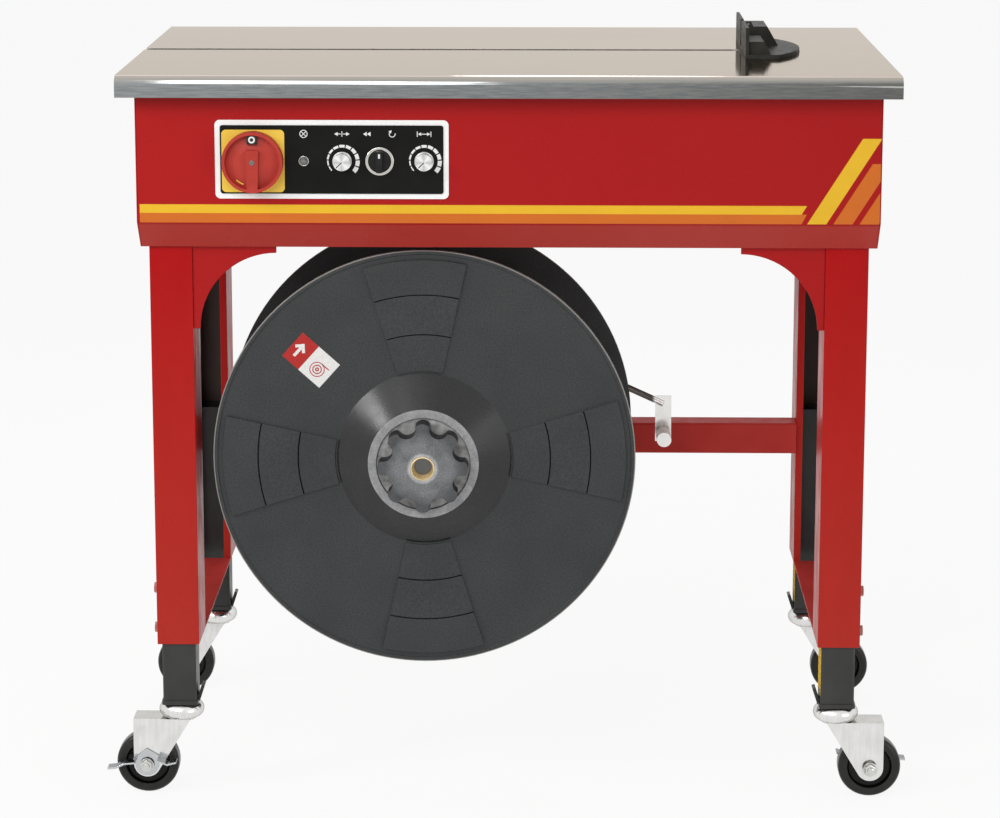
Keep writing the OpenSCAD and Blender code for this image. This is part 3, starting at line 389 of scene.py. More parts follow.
body_names = ("front_cover", "rear_cover", "left_cover", "right_cover", "chassis_plate")
cover_low, cover_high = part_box("front_cover")
fold_h = 0.030
fold_soft = 0.002
rim_soft = 0.0005
red_paint = finish("red_paint", (0.385, 0.0085, 0.0095), roughness=0.3, specular=0.14)
mottle(red_paint, (0.25, 0.25, 0.2), dark=(0.37, 0.008, 0.009), light=(0.40, 0.010, 0.010), detail=1.0)
# Painted reflection: the band below the lower fold is painted a paler red, for the white floor below it.
above_rim = ramp_along(red_paint, "Z", cover_low.z - rim_soft, cover_low.z)
under_fold = ramp_along(red_paint, "Z", cover_low.z + fold_h + fold_soft, cover_low.z + fold_h)
cover_with(red_paint, both(red_paint, above_rim, under_fold), (0.45, 0.040, 0.030))
gloss(red_paint, 0.03, smooth=0.26, dull=0.36)
peel(red_paint, 0.004, height=0.000004, detail=1.0)
dress(red_paint, "leg_gussets", *body_names)
break_edges(*body_names, width=0.0006)


# Two bands of coloured film run along the front, just above the fold of the cover.
# They stop short of three slanted bars that stand at the right corner, cut from the same film.
def flat_plate(width, height):
    """A flat plate about the origin that faces the front, left in edit mode with all selected."""
    bpy.ops.object.select_all(action="DESELECT")
    bpy.ops.mesh.primitive_plane_add(size=1, rotation=(math.pi / 2, 0, 0))
    bpy.context.object.scale = (width, height, 1)
    bpy.ops.object.transform_apply()
    bpy.ops.object.mode_set(mode="EDIT")
    bpy.ops.mesh.select_all(action="SELECT")
    return bpy.context.object


def pick(piece, passes):
    """Selects the points of a piece that pass a test, and leaves it in edit mode."""
    bpy.ops.object.mode_set(mode="EDIT")
    bpy.ops.mesh.select_mode(type="VERT")
    bpy.ops.mesh.select_all(action="DESELECT")
    bpy.ops.object.mode_set(mode="OBJECT")
    for point in piece.data.vertices:
        point.select = passes(point.co)
    bpy.ops.object.mode_set(mode="EDIT")


def set_down(piece, place, thickness, turn=0.0):
    """Gives a flat piece its thickness, turns it clockwise in degrees and puts it on its face."""
    bpy.ops.mesh.select_all(action="SELECT")
    bpy.ops.mesh.extrude_region_move(TRANSFORM_OT_translate={"value": (0, -thickness, 0)})
    bpy.ops.mesh.select_all(action="SELECT")
    bpy.ops.mesh.normals_make_consistent(inside=False)
    bpy.ops.object.mode_set(mode="OBJECT")
    piece.rotation_euler = (0, math.radians(turn), 0)
    piece.location = place
    bpy.ops.object.transform_apply()
    return piece


def joined(name, pieces, made):
    """Joins like pieces into one, with its name and finish."""
    bpy.ops.object.select_all(action="DESELECT")
    for piece in pieces:
        piece.select_set(True)
    bpy.context.view_layer.objects.active = pieces[0]
    if len(pieces) > 1:
        bpy.ops.object.join()
    whole = bpy.context.object
    whole.name = name
    whole.data.name = name
    whole.data.materials.clear()
    whole.data.materials.append(made)
    return whole


def darker(colour, share):
    """A darker shade of a colour."""
    return [share * level for level in colour]


def film_of(name, colour, specular=0.3):
    """Coloured vinyl film: even, slightly glossy, with a faint mottle."""
    film = finish(name, colour, roughness=0.35, specular=specular)
    mottle(film, (0.06, 0.06, 0.03), dark=darker(colour, 0.94), light=colour)
    gloss(film, 0.02, smooth=0.3, dull=0.42)
    return film


film_t = 0.00015
band_left = -0.4238
band_right = 0.3366
band_lean = 0.006
orange_low = 0.0333
orange_h = 0.0112
yellow_h = 0.0100
bar_w = 0.022
bar_lean = 0.062
bar_tops = (0.099, 0.070, 0.041)
bar_pitch = 0.030
bar_left = 0.3430
yellow_film = film_of("yellow_film", (0.80, 0.47, 0.020))
orange_film = film_of("orange_film", (0.62, 0.145, 0.012))


def band(low, height):
    """A straight band along the front whose right end slants."""
    piece = flat_plate(band_right - band_left, height)
    pick(piece, lambda point: point.x > 0 and point.z > 0)
    bpy.ops.transform.translate(value=(band_lean, 0, 0))
    place = ((band_left + band_right) / 2, cover_low.y, cover_low.z + low + height / 2)
    return set_down(piece, place, film_t)


def slanted_bar(index):
    """One of the slanted bars at the right corner, trimmed at the cover's edge."""
    height = bar_tops[index]
    left = bar_left + index * bar_pitch
    piece = flat_plate(bar_w, height)
    pick(piece, lambda point: point.z > 0)
    bpy.ops.transform.translate(value=(bar_lean * height / bar_tops[0], 0, 0))
    set_down(piece, (left + bar_w / 2, cover_low.y, cover_low.z + orange_low + height / 2), film_t)
    bpy.ops.object.mode_set(mode="EDIT")
    bpy.ops.mesh.select_all(action="SELECT")
    bpy.ops.mesh.bisect(
        plane_co=(cover_high.x, 0, 0), plane_no=(1, 0, 0), use_fill=True, clear_outer=True)
    bpy.ops.object.mode_set(mode="OBJECT")
    return piece


yellow_bands = joined("yellow_band", [band(orange_low + orange_h, yellow_h), slanted_bar(0)], yellow_film)
orange_bands = joined(
    "orange_band", [band(orange_low, orange_h), slanted_bar(1), slanted_bar(2)], orange_film)
for piece in (yellow_bands, orange_bands):
    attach(piece, "frame")


# The control panel is a white border plate and a black face plate, one on the other on the front
# cover. A yellow plate on them carries the main switch, whose dished knob is moulded in red plastic.
white_enamel = finish("white_enamel", (0.91, 0.91, 0.90), roughness=0.3, specular=0.3)
mottle(white_enamel, 0.05, dark=(0.88, 0.88, 0.87), light=(0.92, 0.92, 0.91))
gloss(white_enamel, 0.02, smooth=0.24, dull=0.36)
dress(white_enamel, "panel_bezel")
black_face = finish("black_face", (0.006, 0.006, 0.005), roughness=0.42, specular=0.1)
mottle(black_face, (0.04, 0.04, 0.03), dark=(0.005, 0.005, 0.0045), light=(0.008, 0.008, 0.007))
gloss(black_face, 0.01, smooth=0.32, dull=0.48)
peel(black_face, 0.0005, height=0.00001)
dress(black_face, "control_plate")
yellow_plastic = finish("yellow_plastic", (0.86, 0.59, 0.075), roughness=0.38, specular=0.3)
mottle(yellow_plastic, 0.03, dark=(0.82, 0.55, 0.062), light=(0.88, 0.61, 0.085))
gloss(yellow_plastic, 0.006, smooth=0.32, dull=0.46)
dress(yellow_plastic, "main_switch_plate")
red_plastic = finish("red_plastic", (0.43, 0.038, 0.026), roughness=0.4, specular=0.25)
mottle(red_plastic, 0.02, dark=(0.40, 0.034, 0.023), light=(0.46, 0.043, 0.029))
gloss(red_plastic, 0.006, smooth=0.34, dull=0.48)
peel(red_plastic, 0.0006, height=0.00001)
dress(red_plastic, "main_switch_knob")
break_edges("panel_bezel", "control_plate", width=0.0003)
break_edges("main_switch_plate", width=0.0005)
break_edges("main_switch_knob", width=0.0009)


# Marks on the main switch: a black window with a white ring at the top of the knob,
# a yellow slit at its foot, and the steel screw that holds the knob on its spindle.
ring_step = 7.5
ring_least = 3


def ring_sector(inner, outer, start, sweep):
    """A flat ring sector about the origin, facing the front, in edit mode; clockwise from the top."""
    piece = flat_plate(1, 1)
    pick(piece, lambda point: point.x > 0)
    bpy.ops.mesh.delete(type="VERT")
    bpy.ops.object.mode_set(mode="OBJECT")
    for point in piece.data.vertices:
        point.co = (0, 0, outer if point.co.z > 0 else inner)
    bpy.ops.object.mode_set(mode="EDIT")
    bpy.ops.mesh.select_all(action="SELECT")
    steps = max(ring_least, round(sweep / ring_step))
    bpy.ops.mesh.spin(steps=steps, angle=math.radians(sweep), center=(0, 0, 0), axis=(0, -1, 0))
    bpy.ops.mesh.select_all(action="SELECT")
    bpy.ops.mesh.remove_doubles(threshold=weld_gap)
    bpy.ops.object.mode_set(mode="OBJECT")
    piece.rotation_euler = (0, math.radians(start), 0)
    bpy.ops.object.transform_apply()
    bpy.ops.object.mode_set(mode="EDIT")
    return piece


def ink_of(name, colour):
    """Screen-printed ink, a little uneven."""
    ink = finish(name, colour, roughness=0.45, specular=0.3)
    mottle(ink, 0.003, dark=darker(colour, 0.9), light=colour)
    gloss(ink, 0.004, smooth=0.38, dull=0.52)
    return ink


def steel_of(name, colour, smooth, dull, glancing=(1, 1, 1)):
    """Bare or plated steel with a cloudy sheen."""
    steel = finish(name, colour, roughness=smooth, metallic=1.0, glancing=glancing)
    mottle(steel, 0.02, dark=darker(colour, 0.9), light=colour)
    gloss(steel, 0.006, smooth=smooth, dull=dull)
    peel(steel, 0.0008, height=0.000006)
    return steel


def middle_of(name):
    """The middle of a part at rest."""
    low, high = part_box(name)
    return (low + high) / 2


white_ink = ink_of("white_ink", (0.82, 0.82, 0.80))
black_ink = ink_of("black_ink", grey(0.012))
bright_steel = steel_of("bright_steel", (0.72, 0.71, 0.69), smooth=0.2, dull=0.36)
screw_steel = steel_of("screw_steel", (0.22, 0.22, 0.21), smooth=0.2, dull=0.36)
switch = middle_of("main_switch_knob")
switch_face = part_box("main_switch_knob")[0].y
window_w = 0.0117
window_h = 0.0095
window_rise = 0.0258
window_sunk = 0.0010
window_t = 0.0070
window_ring = (0.0021, 0.0039)
window_ring_rise = 0.0263
slit_radius = (0.0270, 0.0284)
slit_start = 202.0
slit_sweep = 20.0
slit_sunk = 0.0064
slit_t = 0.0002
screw_r = 0.0030
screw_t = 0.0008
screw_sunk = 0.00016
screw_dome = 0.00032
rim_steps = 3
round_sides = 32
driver_w = 0.0009
driver_turn = 35
window_at = (switch.x, switch_face + window_sunk + window_t, switch.z + window_rise)
window = joined("switch_window", [set_down(flat_plate(window_w, window_h), window_at, window_t)], black_ink)
mark_at = (switch.x, switch_face + window_sunk, switch.z + window_ring_rise)
window_mark = set_down(ring_sector(*window_ring, 0, 360), mark_at, film_t)
window_mark = joined("switch_window_ring", [window_mark], white_ink)
slit_at = (switch.x, switch_face + slit_sunk, switch.z)
slit = set_down(ring_sector(*slit_radius, slit_start, slit_sweep), slit_at, slit_t)
slit = joined("switch_slit", [slit], yellow_plastic)


def take_up(piece):
    """Selects one piece alone, ready to be worked on."""
    bpy.ops.object.select_all(action="DESELECT")
    piece.select_set(True)
    bpy.context.view_layer.objects.active = piece


def front_cylinder(radius, height, sides):
    """A short cylinder about the origin, with one end to the front."""
    bpy.ops.object.select_all(action="DESELECT")
    bpy.ops.mesh.primitive_cylinder_add(
        vertices=sides, radius=radius, depth=height, rotation=(math.pi / 2, 0, 0))
    bpy.ops.object.transform_apply()
    return bpy.context.object


def round_rim(piece, width):
    """Rounds the rims of the piece at hand."""
    rim = piece.modifiers.new("rim", "BEVEL")
    rim.width = width
    rim.segments = rim_steps
    rim.limit_method = "ANGLE"
    bpy.ops.object.modifier_apply(modifier=rim.name)


def slotted_screw(place):
    """A screw head that faces the front, domed at its rim, with a driver's slot across it."""
    head = front_cylinder(screw_r, screw_t, round_sides)
    round_rim(head, screw_dome)
    bpy.ops.object.select_all(action="DESELECT")
    bpy.ops.mesh.primitive_cube_add(
        size=1, location=(0, -screw_t / 2, 0), rotation=(0, math.radians(driver_turn), 0))
    cutter = bpy.context.object
    cutter.scale = (3 * screw_r, screw_t, driver_w)
    bpy.ops.object.transform_apply()
    slot = head.modifiers.new("slot", "BOOLEAN")
    slot.object = cutter
    take_up(head)
    bpy.ops.object.modifier_apply(modifier=slot.name)
    bpy.data.objects.remove(cutter)
    head.location = place
    bpy.ops.object.transform_apply()
    return head


screw_at = (switch.x, switch_face + screw_sunk - screw_t / 2, switch.z)
knob_screw = joined("switch_screw", [slotted_screw(screw_at)], screw_steel)
for piece in (window, window_mark, slit, knob_screw):
    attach(piece, "main_switch")


# The printed legends on the black plate are plain pictures, silk-screened in white:
# a lamp sign, a tension sign, a feed arrow, a reset arrow, a length sign and the dials' scales.
face_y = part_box("control_plate")[0].y
lamp_x = middle_of("heater_lamp").x
tension_x = middle_of("tension_dial").x
selector_x = middle_of("selector_knob").x
feed_x = middle_of("feed_dial").x
dial_z = middle_of("tension_dial").z
legend_z = 0.8077
legend_reach = 0.0145
line_w = 0.0009
post_h = 0.0062
print_t = 0.00006
# Lines that cross others have more coats of ink, so that no two faces lie in one plane.
bar_coats = 1.3
arrow_coats = 1.6
turn_coats = 0.001
scale_inner = 0.0156
scale_marks = 11
scale_start = -135.0
scale_sweep = 270.0
scale_gap = 4.4
scale_thin = 0.0013
scale_thick = 0.0050


def print_bar(x, z, width, height, turn=0.0):
    """A straight printed line, a little thicker than a ring, and thicker still when it is turned."""
    thickness = print_t * (bar_coats + turn_coats * turn)
    return set_down(flat_plate(width, height), (x, face_y, z), thickness, turn)


def print_ring(x, z, inner, outer, start=0.0, sweep=360.0):
    """A printed ring, or part of one."""
    return set_down(ring_sector(inner, outer, start, sweep), (x, face_y, z), print_t)


def print_arrow(x, z, width, height, turn):
    """A printed arrow head that points up before its turn."""
    piece = flat_plate(width, height)
    pick(piece, lambda point: point.z > 0)
    bpy.ops.mesh.merge(type="CENTER")
    return set_down(piece, (x, face_y, z), arrow_coats * print_t, turn)


def dial_scale(x):
    """A row of marks around a dial that widens clockwise."""
    step = scale_sweep / scale_marks
    marks = []
    for index in range(scale_marks):
        width = scale_thin + (scale_thick - scale_thin) * index / (scale_marks - 1)
        start = scale_start + index * step + scale_gap / 2
        marks.append(print_ring(x, dial_z, scale_inner, scale_inner + width, start, step - scale_gap))
    return marks


def lamp_sign(x):
    """The usual sign for a lamp: a ring with a cross in it."""
    radius = 0.0042
    cross = [print_bar(x, legend_z, 2 * radius, line_w, turn) for turn in (45, 135)]
    return cross + [print_ring(x, legend_z, radius - line_w / 2, radius + line_w / 2)]


def tension_sign(x):
    """Two arrows that pull away from a bar between them."""
    half = 0.0068
    head = (0.0044, 0.0042)
    line_at = 0.6 * half
    line_len = 0.8 * half
    arrows = [print_arrow(x + side * half, legend_z, *head, side * 90) for side in (-1, 1)]
    lines = [print_bar(x + side * line_at, legend_z, line_len, line_w) for side in (-1, 1)]
    return arrows + lines + [print_bar(x, legend_z, line_w, post_h)]


def feed_sign(x):
    """Two arrow heads that point to the left."""
    half = 0.0022
    head = (0.0052, 0.0042)
    return [print_arrow(x + side * half, legend_z, *head, -90) for side in (-1, 1)]


def reset_sign(x):
    """An arrow that runs round clockwise."""
    radius = 0.0034
    head = (0.0040, 0.0034)
    head_lead = 0.0010
    arc_start = 75
    arc_sweep = 240
    end = math.radians(arc_start + arc_sweep)
    arc = print_ring(x, legend_z, radius - line_w / 2, radius + line_w / 2, arc_start, arc_sweep)
    head_x = x + radius * math.sin(end) + head_lead * math.cos(end)
    head_z = legend_z + radius * math.cos(end) - head_lead * math.sin(end)
    return [arc, print_arrow(head_x, head_z, *head, arc_start + arc_sweep + 90)]


def length_sign(x):
    """A measured length: an arrow between two end bars."""
    half = 0.0078
    head = (0.0040, 0.0036)
    head_in = 0.0026
    line_in = 0.0030
    head_at = half - head_in
    line_len = 2 * (half - line_in)
    posts = [print_bar(x + side * half, legend_z, line_w, post_h) for side in (-1, 1)]
    heads = [print_arrow(x + side * head_at, legend_z, *head, side * 90) for side in (-1, 1)]
    return posts + heads + [print_bar(x, legend_z, line_len, line_w)]


legend_pieces = lamp_sign(lamp_x) + tension_sign(tension_x) + length_sign(feed_x)
legend_pieces += feed_sign(selector_x - legend_reach) + reset_sign(selector_x + legend_reach)
legend_pieces += dial_scale(tension_x) + dial_scale(feed_x)
legends = joined("panel_legends", legend_pieces, white_ink)
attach(legends, "frame")


# The two dials are turned aluminium knobs with spun faces and a painted sheen of light and dark wedges,
# each with a dark pointer line.
# The selector has a black knob with a white mark, inside a chromed ring, and the lamp a clear lens.
sheen_wedges = 8
spun_pitch = 0.003
spun_depth = 0.00001


def turned(made, x, z, bright, dark):
    """Painted light and shade in wedges around a lathe-turned face, a painted sheen, with fine rings."""
    tree = made.node_tree
    around = tree.nodes.new("ShaderNodeTexGradient")
    around.gradient_type = "RADIAL"
    turn = tree.nodes.new("ShaderNodeMapping")
    turn.inputs["Rotation"].default_value = (math.radians(90), 0, 0)
    tree.links.new(spread(made, (1, 1, 1), (x, 0, z)), turn.inputs["Vector"])
    tree.links.new(turn.outputs["Vector"], around.inputs["Vector"])
    wedges = [(edge / sheen_wedges, bright if edge % 2 else dark) for edge in range(sheen_wedges + 1)]
    shade(made, around.outputs["Fac"], *wedges)
    rings = tree.nodes.new("ShaderNodeTexWave")
    rings.wave_type = "RINGS"
    rings.rings_direction = "Y"
    rings.inputs["Scale"].default_value = 1.0
    tree.links.new(spread(made, (spun_pitch, spun_pitch, spun_pitch), (x, 0, z)), rings.inputs["Vector"])
    relief(made, rings.outputs["Fac"], spun_depth)


pointer_w = 0.0012
pointer_reach = 0.0045
pointer_turn = -135.0
dot_w = 0.0022
dot_h = 0.0050
dials = (("tension_dial", "tension_control", tension_x), ("feed_dial", "feed_control", feed_x))
for dial, body, x in dials:
    spun = finish(f"spun_{dial}", (0.85, 0.85, 0.84), roughness=0.3, metallic=1.0)
    # Painted sheen: light and dark wedges round the dial's face.
    turned(spun, x, dial_z, (0.93, 0.93, 0.92), (0.55, 0.55, 0.54))
    gloss(spun, 0.002, smooth=0.24, dull=0.36)
    dress(spun, dial)
    break_edges(dial, width=0.0005)
    dial_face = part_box(dial)[0].y
    piece = flat_plate(pointer_w, 2 * pointer_reach)
    bpy.ops.transform.translate(value=(0, 0, pointer_reach))
    pointer = set_down(piece, (x, dial_face, dial_z), print_t, pointer_turn)
    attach(joined(f"{dial}_pointer", [pointer], black_ink), body)

satin_chrome = steel_of("satin_chrome", (0.62, 0.60, 0.56), smooth=0.10, dull=0.20)
dress(satin_chrome, "selector_bezel")
break_edges("selector_bezel", width=0.0009)
control_plastic = finish("control_plastic", grey(0.012), roughness=0.35, specular=0.18)
mottle(control_plastic, 0.01, dark=grey(0.009), light=grey(0.015))
gloss(control_plastic, 0.004, smooth=0.28, dull=0.42)
peel(control_plastic, 0.0005, height=0.00001)
dress(control_plastic, "selector_knob")
break_edges("selector_knob", width=0.0006)
selector_low, selector_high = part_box("selector_knob")
dot = set_down(
    flat_plate(dot_w, dot_h), (selector_x, selector_low.y, selector_high.z - dot_h), film_t)
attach(joined("selector_dot", [dot], white_ink), "feed_reset_selector")

lens = finish("lamp_lens", (0.12, 0.14, 0.12), roughness=0.12, specular=0.5)
mottle(lens, 0.0025, dark=(0.05, 0.06, 0.05), light=(0.24, 0.26, 0.23))
gloss(lens, 0.002, smooth=0.08, dull=0.2)
dress(lens, "heater_lamp")
break_edges("heater_lamp", width=0.0012)
lamp_low, lamp_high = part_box("heater_lamp")
collar_inner = (lamp_high.x - lamp_low.x) / 2
collar_w = 0.0009
collar_t = 0.0016
collar_round = 0.0004
lamp_collar = set_down(
    ring_sector(collar_inner, collar_inner + collar_w, 0, 360), (lamp_x, face_y, dial_z), collar_t)
lamp_collar = joined("lamp_collar", [lamp_collar], satin_chrome)
round_rim(lamp_collar, collar_round)
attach(lamp_collar, "frame")


# Zinc-plated pan screws hold the covers, and hexagon bolts with worn paint clamp the legs' tubes.
# The supply enters through a black cable gland in the rear cover.
zinc = steel_of("zinc_plate", (0.80, 0.79, 0.77), smooth=0.09, dull=0.22, glancing=(0.70, 0.69, 0.65))
dress(zinc, "cover_screws")
break_edges("cover_screws", width=0.0004)
dress(control_plastic, "power_inlet")
break_edges("power_inlet", width=0.0006)
bolt_paint = finish("bolt_paint", (0.46, 0.18, 0.15), roughness=0.38, specular=0.35)
mottle(bolt_paint, 0.006, dark=(0.40, 0.08, 0.07), light=(0.56, 0.34, 0.30))
gloss(bolt_paint, 0.004, smooth=0.3, dull=0.46)
dress(bolt_paint, "leg_clamp_bolts")
break_edges("leg_clamp_bolts", width=0.0004)


# The legs are folded channels with a rear beam, side ties and corner gussets welded to them.
# They wear the body's red paint, which is duller and painted paler towards the floor as painted floor
# light.
# The channels' insides are painted dark grey-brown, a painted shade for the shadow inside them.
corners = ("front_left", "front_right", "rear_left", "rear_right")
# Painted light: the beam, ties and stand get a paler red than the body's, for glare on the shaded rear
# frame.
paler_lit_frame_paint = finish("paler_lit_frame_paint", (0.48, 0.046, 0.039), roughness=0.34, bending=1.08)
mottle(paler_lit_frame_paint, 0.05, dark=(0.46, 0.041, 0.035), light=(0.50, 0.051, 0.043))
gloss(paler_lit_frame_paint, 0.02, smooth=0.26, dull=0.42)
peel(paler_lit_frame_paint, 0.004, height=0.000004, detail=1.0)
frame_names = ("leg_tie_left", "leg_tie_right", "rear_beam", "reel_stand")
dress(paler_lit_frame_paint, *frame_names)
break_edges("leg_gussets", *frame_names, width=0.0008)
inner_shade_edge = 0.0012
for corner in corners:
    leg = f"leg_{corner}"
    leg_low, leg_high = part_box(leg)
    leg_paint = finish(f"leg_paint_{corner}", (0.43, 0.016, 0.012), roughness=0.34, bending=1.22)
    # Painted light: the red is painted paler towards the floor, for light thrown up from the floor.
    height = ramp_along(leg_paint, "Z", leg_low.z, leg_high.z)
    shade(leg_paint, height, (0.0, (0.445, 0.028, 0.0185)), (1.0, (0.415, 0.004, 0.0055)))
    mottle(leg_paint, (0.03, 0.03, 0.12), dark=(0.94, 0.92, 0.92), light=(1, 1, 1))
    # Painted shade: inside the channel the paint is painted dark grey-brown.
    across = within(leg_paint, "X", leg_low.x, leg_high.x, inner_shade_edge)
    along = within(leg_paint, "Y", leg_low.y, leg_high.y, inner_shade_edge)
    cover_with(leg_paint, both(leg_paint, across, along), (0.125, 0.092, 0.082))
    gloss(leg_paint, (0.02, 0.02, 0.05), smooth=0.26, dull=0.42)
    peel(leg_paint, 0.004, height=0.000004, detail=1.0)
    dress(leg_paint, leg)
    break_edges(leg, width=0.0008)


# The inner legs are square tubes in satin black paint that telescope in the channels.
# A yellow rule with black marks is stuck on the inner face of each right-hand tube.
tube_paint = finish("tube_paint", (0.034, 0.034, 0.032), roughness=0.4, specular=0.3)
mottle(tube_paint, (0.03, 0.03, 0.06), dark=(0.028, 0.028, 0.027), light=(0.042, 0.042, 0.040))
gloss(tube_paint, (0.01, 0.01, 0.03), smooth=0.32, dull=0.5)
peel(tube_paint, 0.0014, height=0.00001)
tube_names = [f"inner_leg_{corner}" for corner in corners]
dress(tube_paint, *tube_names)
break_edges(*tube_names, width=0.0010)
rule_w = 0.034
rule_t = 0.00012
rule_drop = 0.261
tube_half = 0.020
rule_len = 0.182
mark_pitch = 0.005
mark_h = 0.0013
mark_long = 0.034
mark_short = 0.007
rule_film = film_of("rule_film", (0.95, 0.60, 0.055), specular=0.0)


def stand_on_side(piece, face_x, middle_y):
    """Turns a piece that faces the front to face left, and puts it on a tube's inner face."""
    take_up(piece)
    piece.rotation_euler = (0, 0, math.radians(-90))
    piece.location = (face_x, middle_y, 0)
    bpy.ops.object.transform_apply()


for corner in ("front_right", "rear_right"):
    tube_face = middle_of(f"leg_{corner}").x - tube_half
    tube_y = middle_of(f"inner_leg_{corner}").y
    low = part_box(f"inner_leg_{corner}")[1].z - rule_drop
    strip = set_down(flat_plate(rule_w, rule_len), (0, 0, low + rule_len / 2), rule_t)
    strip = joined(f"rule_{corner}", [strip], rule_film)
    marks = []
    for index in range(int(rule_len / mark_pitch)):
        width = mark_short if index % 2 else mark_long
        place = (rule_w / 2 - width / 2, -rule_t, low + (index + 0.5) * mark_pitch)
        marks.append(set_down(flat_plate(width, mark_h), place, rule_t / 2))
    marks = joined(f"rule_marks_{corner}", marks, black_ink)
    for piece in (strip, marks):
        stand_on_side(piece, tube_face, tube_y)
        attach(piece, f"tube_{corner}")


# The casters have pressed forks in bright zinc, with black rubber wheels on axle bolts.
# The two front ones have rocking brake levers of zinc-plated sheet. A nut on a washer ends each axle.
fork_names = [f"caster_fork_{corner}" for corner in corners]
fork_zinc = steel_of("fork_zinc", (0.83, 0.825, 0.81), smooth=0.12, dull=0.26, glancing=(0.60, 0.59, 0.56))
mottle(fork_zinc, (0.004, 0.004, 0.03), dark=grey(0.90), light=(1, 1, 1), detail=3.0)
dress(fork_zinc, *fork_names)
break_edges(*fork_names, width=0.0006)
lever_steel = steel_of("lever_steel", (0.56, 0.575, 0.59), smooth=0.14, dull=0.28, glancing=grey(0.40))
lever_names = ("brake_lever_left", "brake_lever_right")
dress(lever_steel, *lever_names)
break_edges(*lever_names, width=0.0005)
tyre_in = (0.0262, 0.0272)
tyre_round = 0.0014
web_gloss = 0.4
axle_proud = 0.005
nut_sides = 6
nut_r = 0.0075
nut_h = 0.0052
nut_bevel = 0.0009
axle_tip_r = 0.0040
axle_tip_h = 0.0022
axle_tip_sides = 24
washer_r = 0.0086
washer_h = 0.0008
washer_bevel = 0.3 * washer_h
nut_steel = steel_of("nut_steel", (0.66, 0.66, 0.64), smooth=0.14, dull=0.26, glancing=(0.50, 0.50, 0.48))


def stub(radius, height, sides, bevel, place):
    """A short round or six-sided stub that faces the front, with its front edge broken."""
    piece = front_cylinder(radius, height, sides)
    pick(piece, lambda point: point.y < 0)
    bpy.ops.mesh.bevel(offset=bevel, segments=edge_steps, affect="EDGES")
    bpy.ops.object.mode_set(mode="OBJECT")
    piece.location = (place[0], place[1] - height / 2, place[2])
    bpy.ops.object.transform_apply()
    return piece


def from_axis(made, x, z, inner, outer):
    """0 up to the inner radius and 1 from the outer one, about an axis that runs from front to back."""
    tree = made.node_tree
    flat = tree.nodes.new("ShaderNodeVectorMath")
    flat.operation = "MULTIPLY"
    flat.inputs[1].default_value = (1, 0, 1)
    reach = tree.nodes.new("ShaderNodeVectorMath")
    reach.operation = "LENGTH"
    tree.links.new(spread(made, (1, 1, 1), (x, 0, z)), flat.inputs[0])
    tree.links.new(flat.outputs["Vector"], reach.inputs[0])
    return rescaled(made, reach.outputs["Value"], inner, outer)


def smoother_where(made, pattern, share):
    """Lowers the roughness to a share of it where the pattern is 0."""
    rough = socket_of(made, "Roughness")
    level = rescaled(made, pattern, 0.0, 1.0, low=share)
    made.node_tree.links.new(both(made, rough.links[0].from_socket, level), rough)


for corner in corners:
    fork_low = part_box(f"caster_fork_{corner}")[0]
    middle = middle_of(f"caster_wheel_{corner}")
    rubber = finish(f"wheel_rubber_{corner}", (0.022, 0.022, 0.020), roughness=0.3, specular=0.2)
    mottle(rubber, 0.012, dark=(0.018, 0.018, 0.0165), light=(0.026, 0.026, 0.024))
    tyre = from_axis(rubber, middle.x, middle.z, *tyre_in)
    shade(rubber, tyre, (0.0, grey(0.16)), (1.0, (1, 1, 1)))
    gloss(rubber, 0.008, smooth=0.22, dull=0.36)
    smoother_where(rubber, tyre, web_gloss)
    peel(rubber, 0.0012, height=0.00001)
    dress(rubber, f"caster_wheel_{corner}")
    break_edges(f"caster_wheel_{corner}", width=tyre_round)
    tip_at = (middle.x, fork_low.y, middle.z)
    nut_at = (middle.x, fork_low.y + axle_proud, middle.z)
    nut_parts = [
        stub(washer_r, washer_h, round_sides, washer_bevel, nut_at),
        stub(nut_r, nut_h, nut_sides, nut_bevel, nut_at),
        stub(axle_tip_r, axle_tip_h, axle_tip_sides, nut_bevel, tip_at)]
    nut = joined(f"axle_nut_{corner}", nut_parts, nut_steel)
    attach(nut, f"caster_{corner}")


# The reel is moulded in grained black plastic: two flanges with raised sectors, and a round core.
# A lobed hand knob with a brass bush holds it on the steel shaft, over a grey plate with a raised ring.
hand_low, hand_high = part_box("reel_knob")
reel_x = middle_of("hub_ring").x
reel_z = middle_of("hub_ring").z
flange_face = -0.222
rim_highlight_band = (0.2474, 0.2482)
rim_depth = 0.0025
cone_r = 0.103
cone_edge = 0.0006
cone_gloss = 0.62
dusty_r = 0.030
lobes_r = 0.044
bush_lip_highlight = (0.0160, 0.0190)
plate_r = (0.030, 0.0545)
plate_t = 0.00015
knob_gap = 0.0003
dust_depth = 0.003
reel_plastic = finish("reel_plastic", (0.026, 0.028, 0.029), roughness=0.45, specular=0.42)
mottle(reel_plastic, 0.07, dark=(0.022, 0.024, 0.025), light=(0.031, 0.033, 0.034), detail=3.0)
mottle(reel_plastic, 0.0020, dark=grey(0.60), light=grey(1.30))
cone_out = from_axis(reel_plastic, reel_x, reel_z, cone_r - cone_edge, cone_r)
shade(reel_plastic, cone_out, (0.0, (0.55, 0.53, 0.50)), (1.0, (1, 1, 1)))
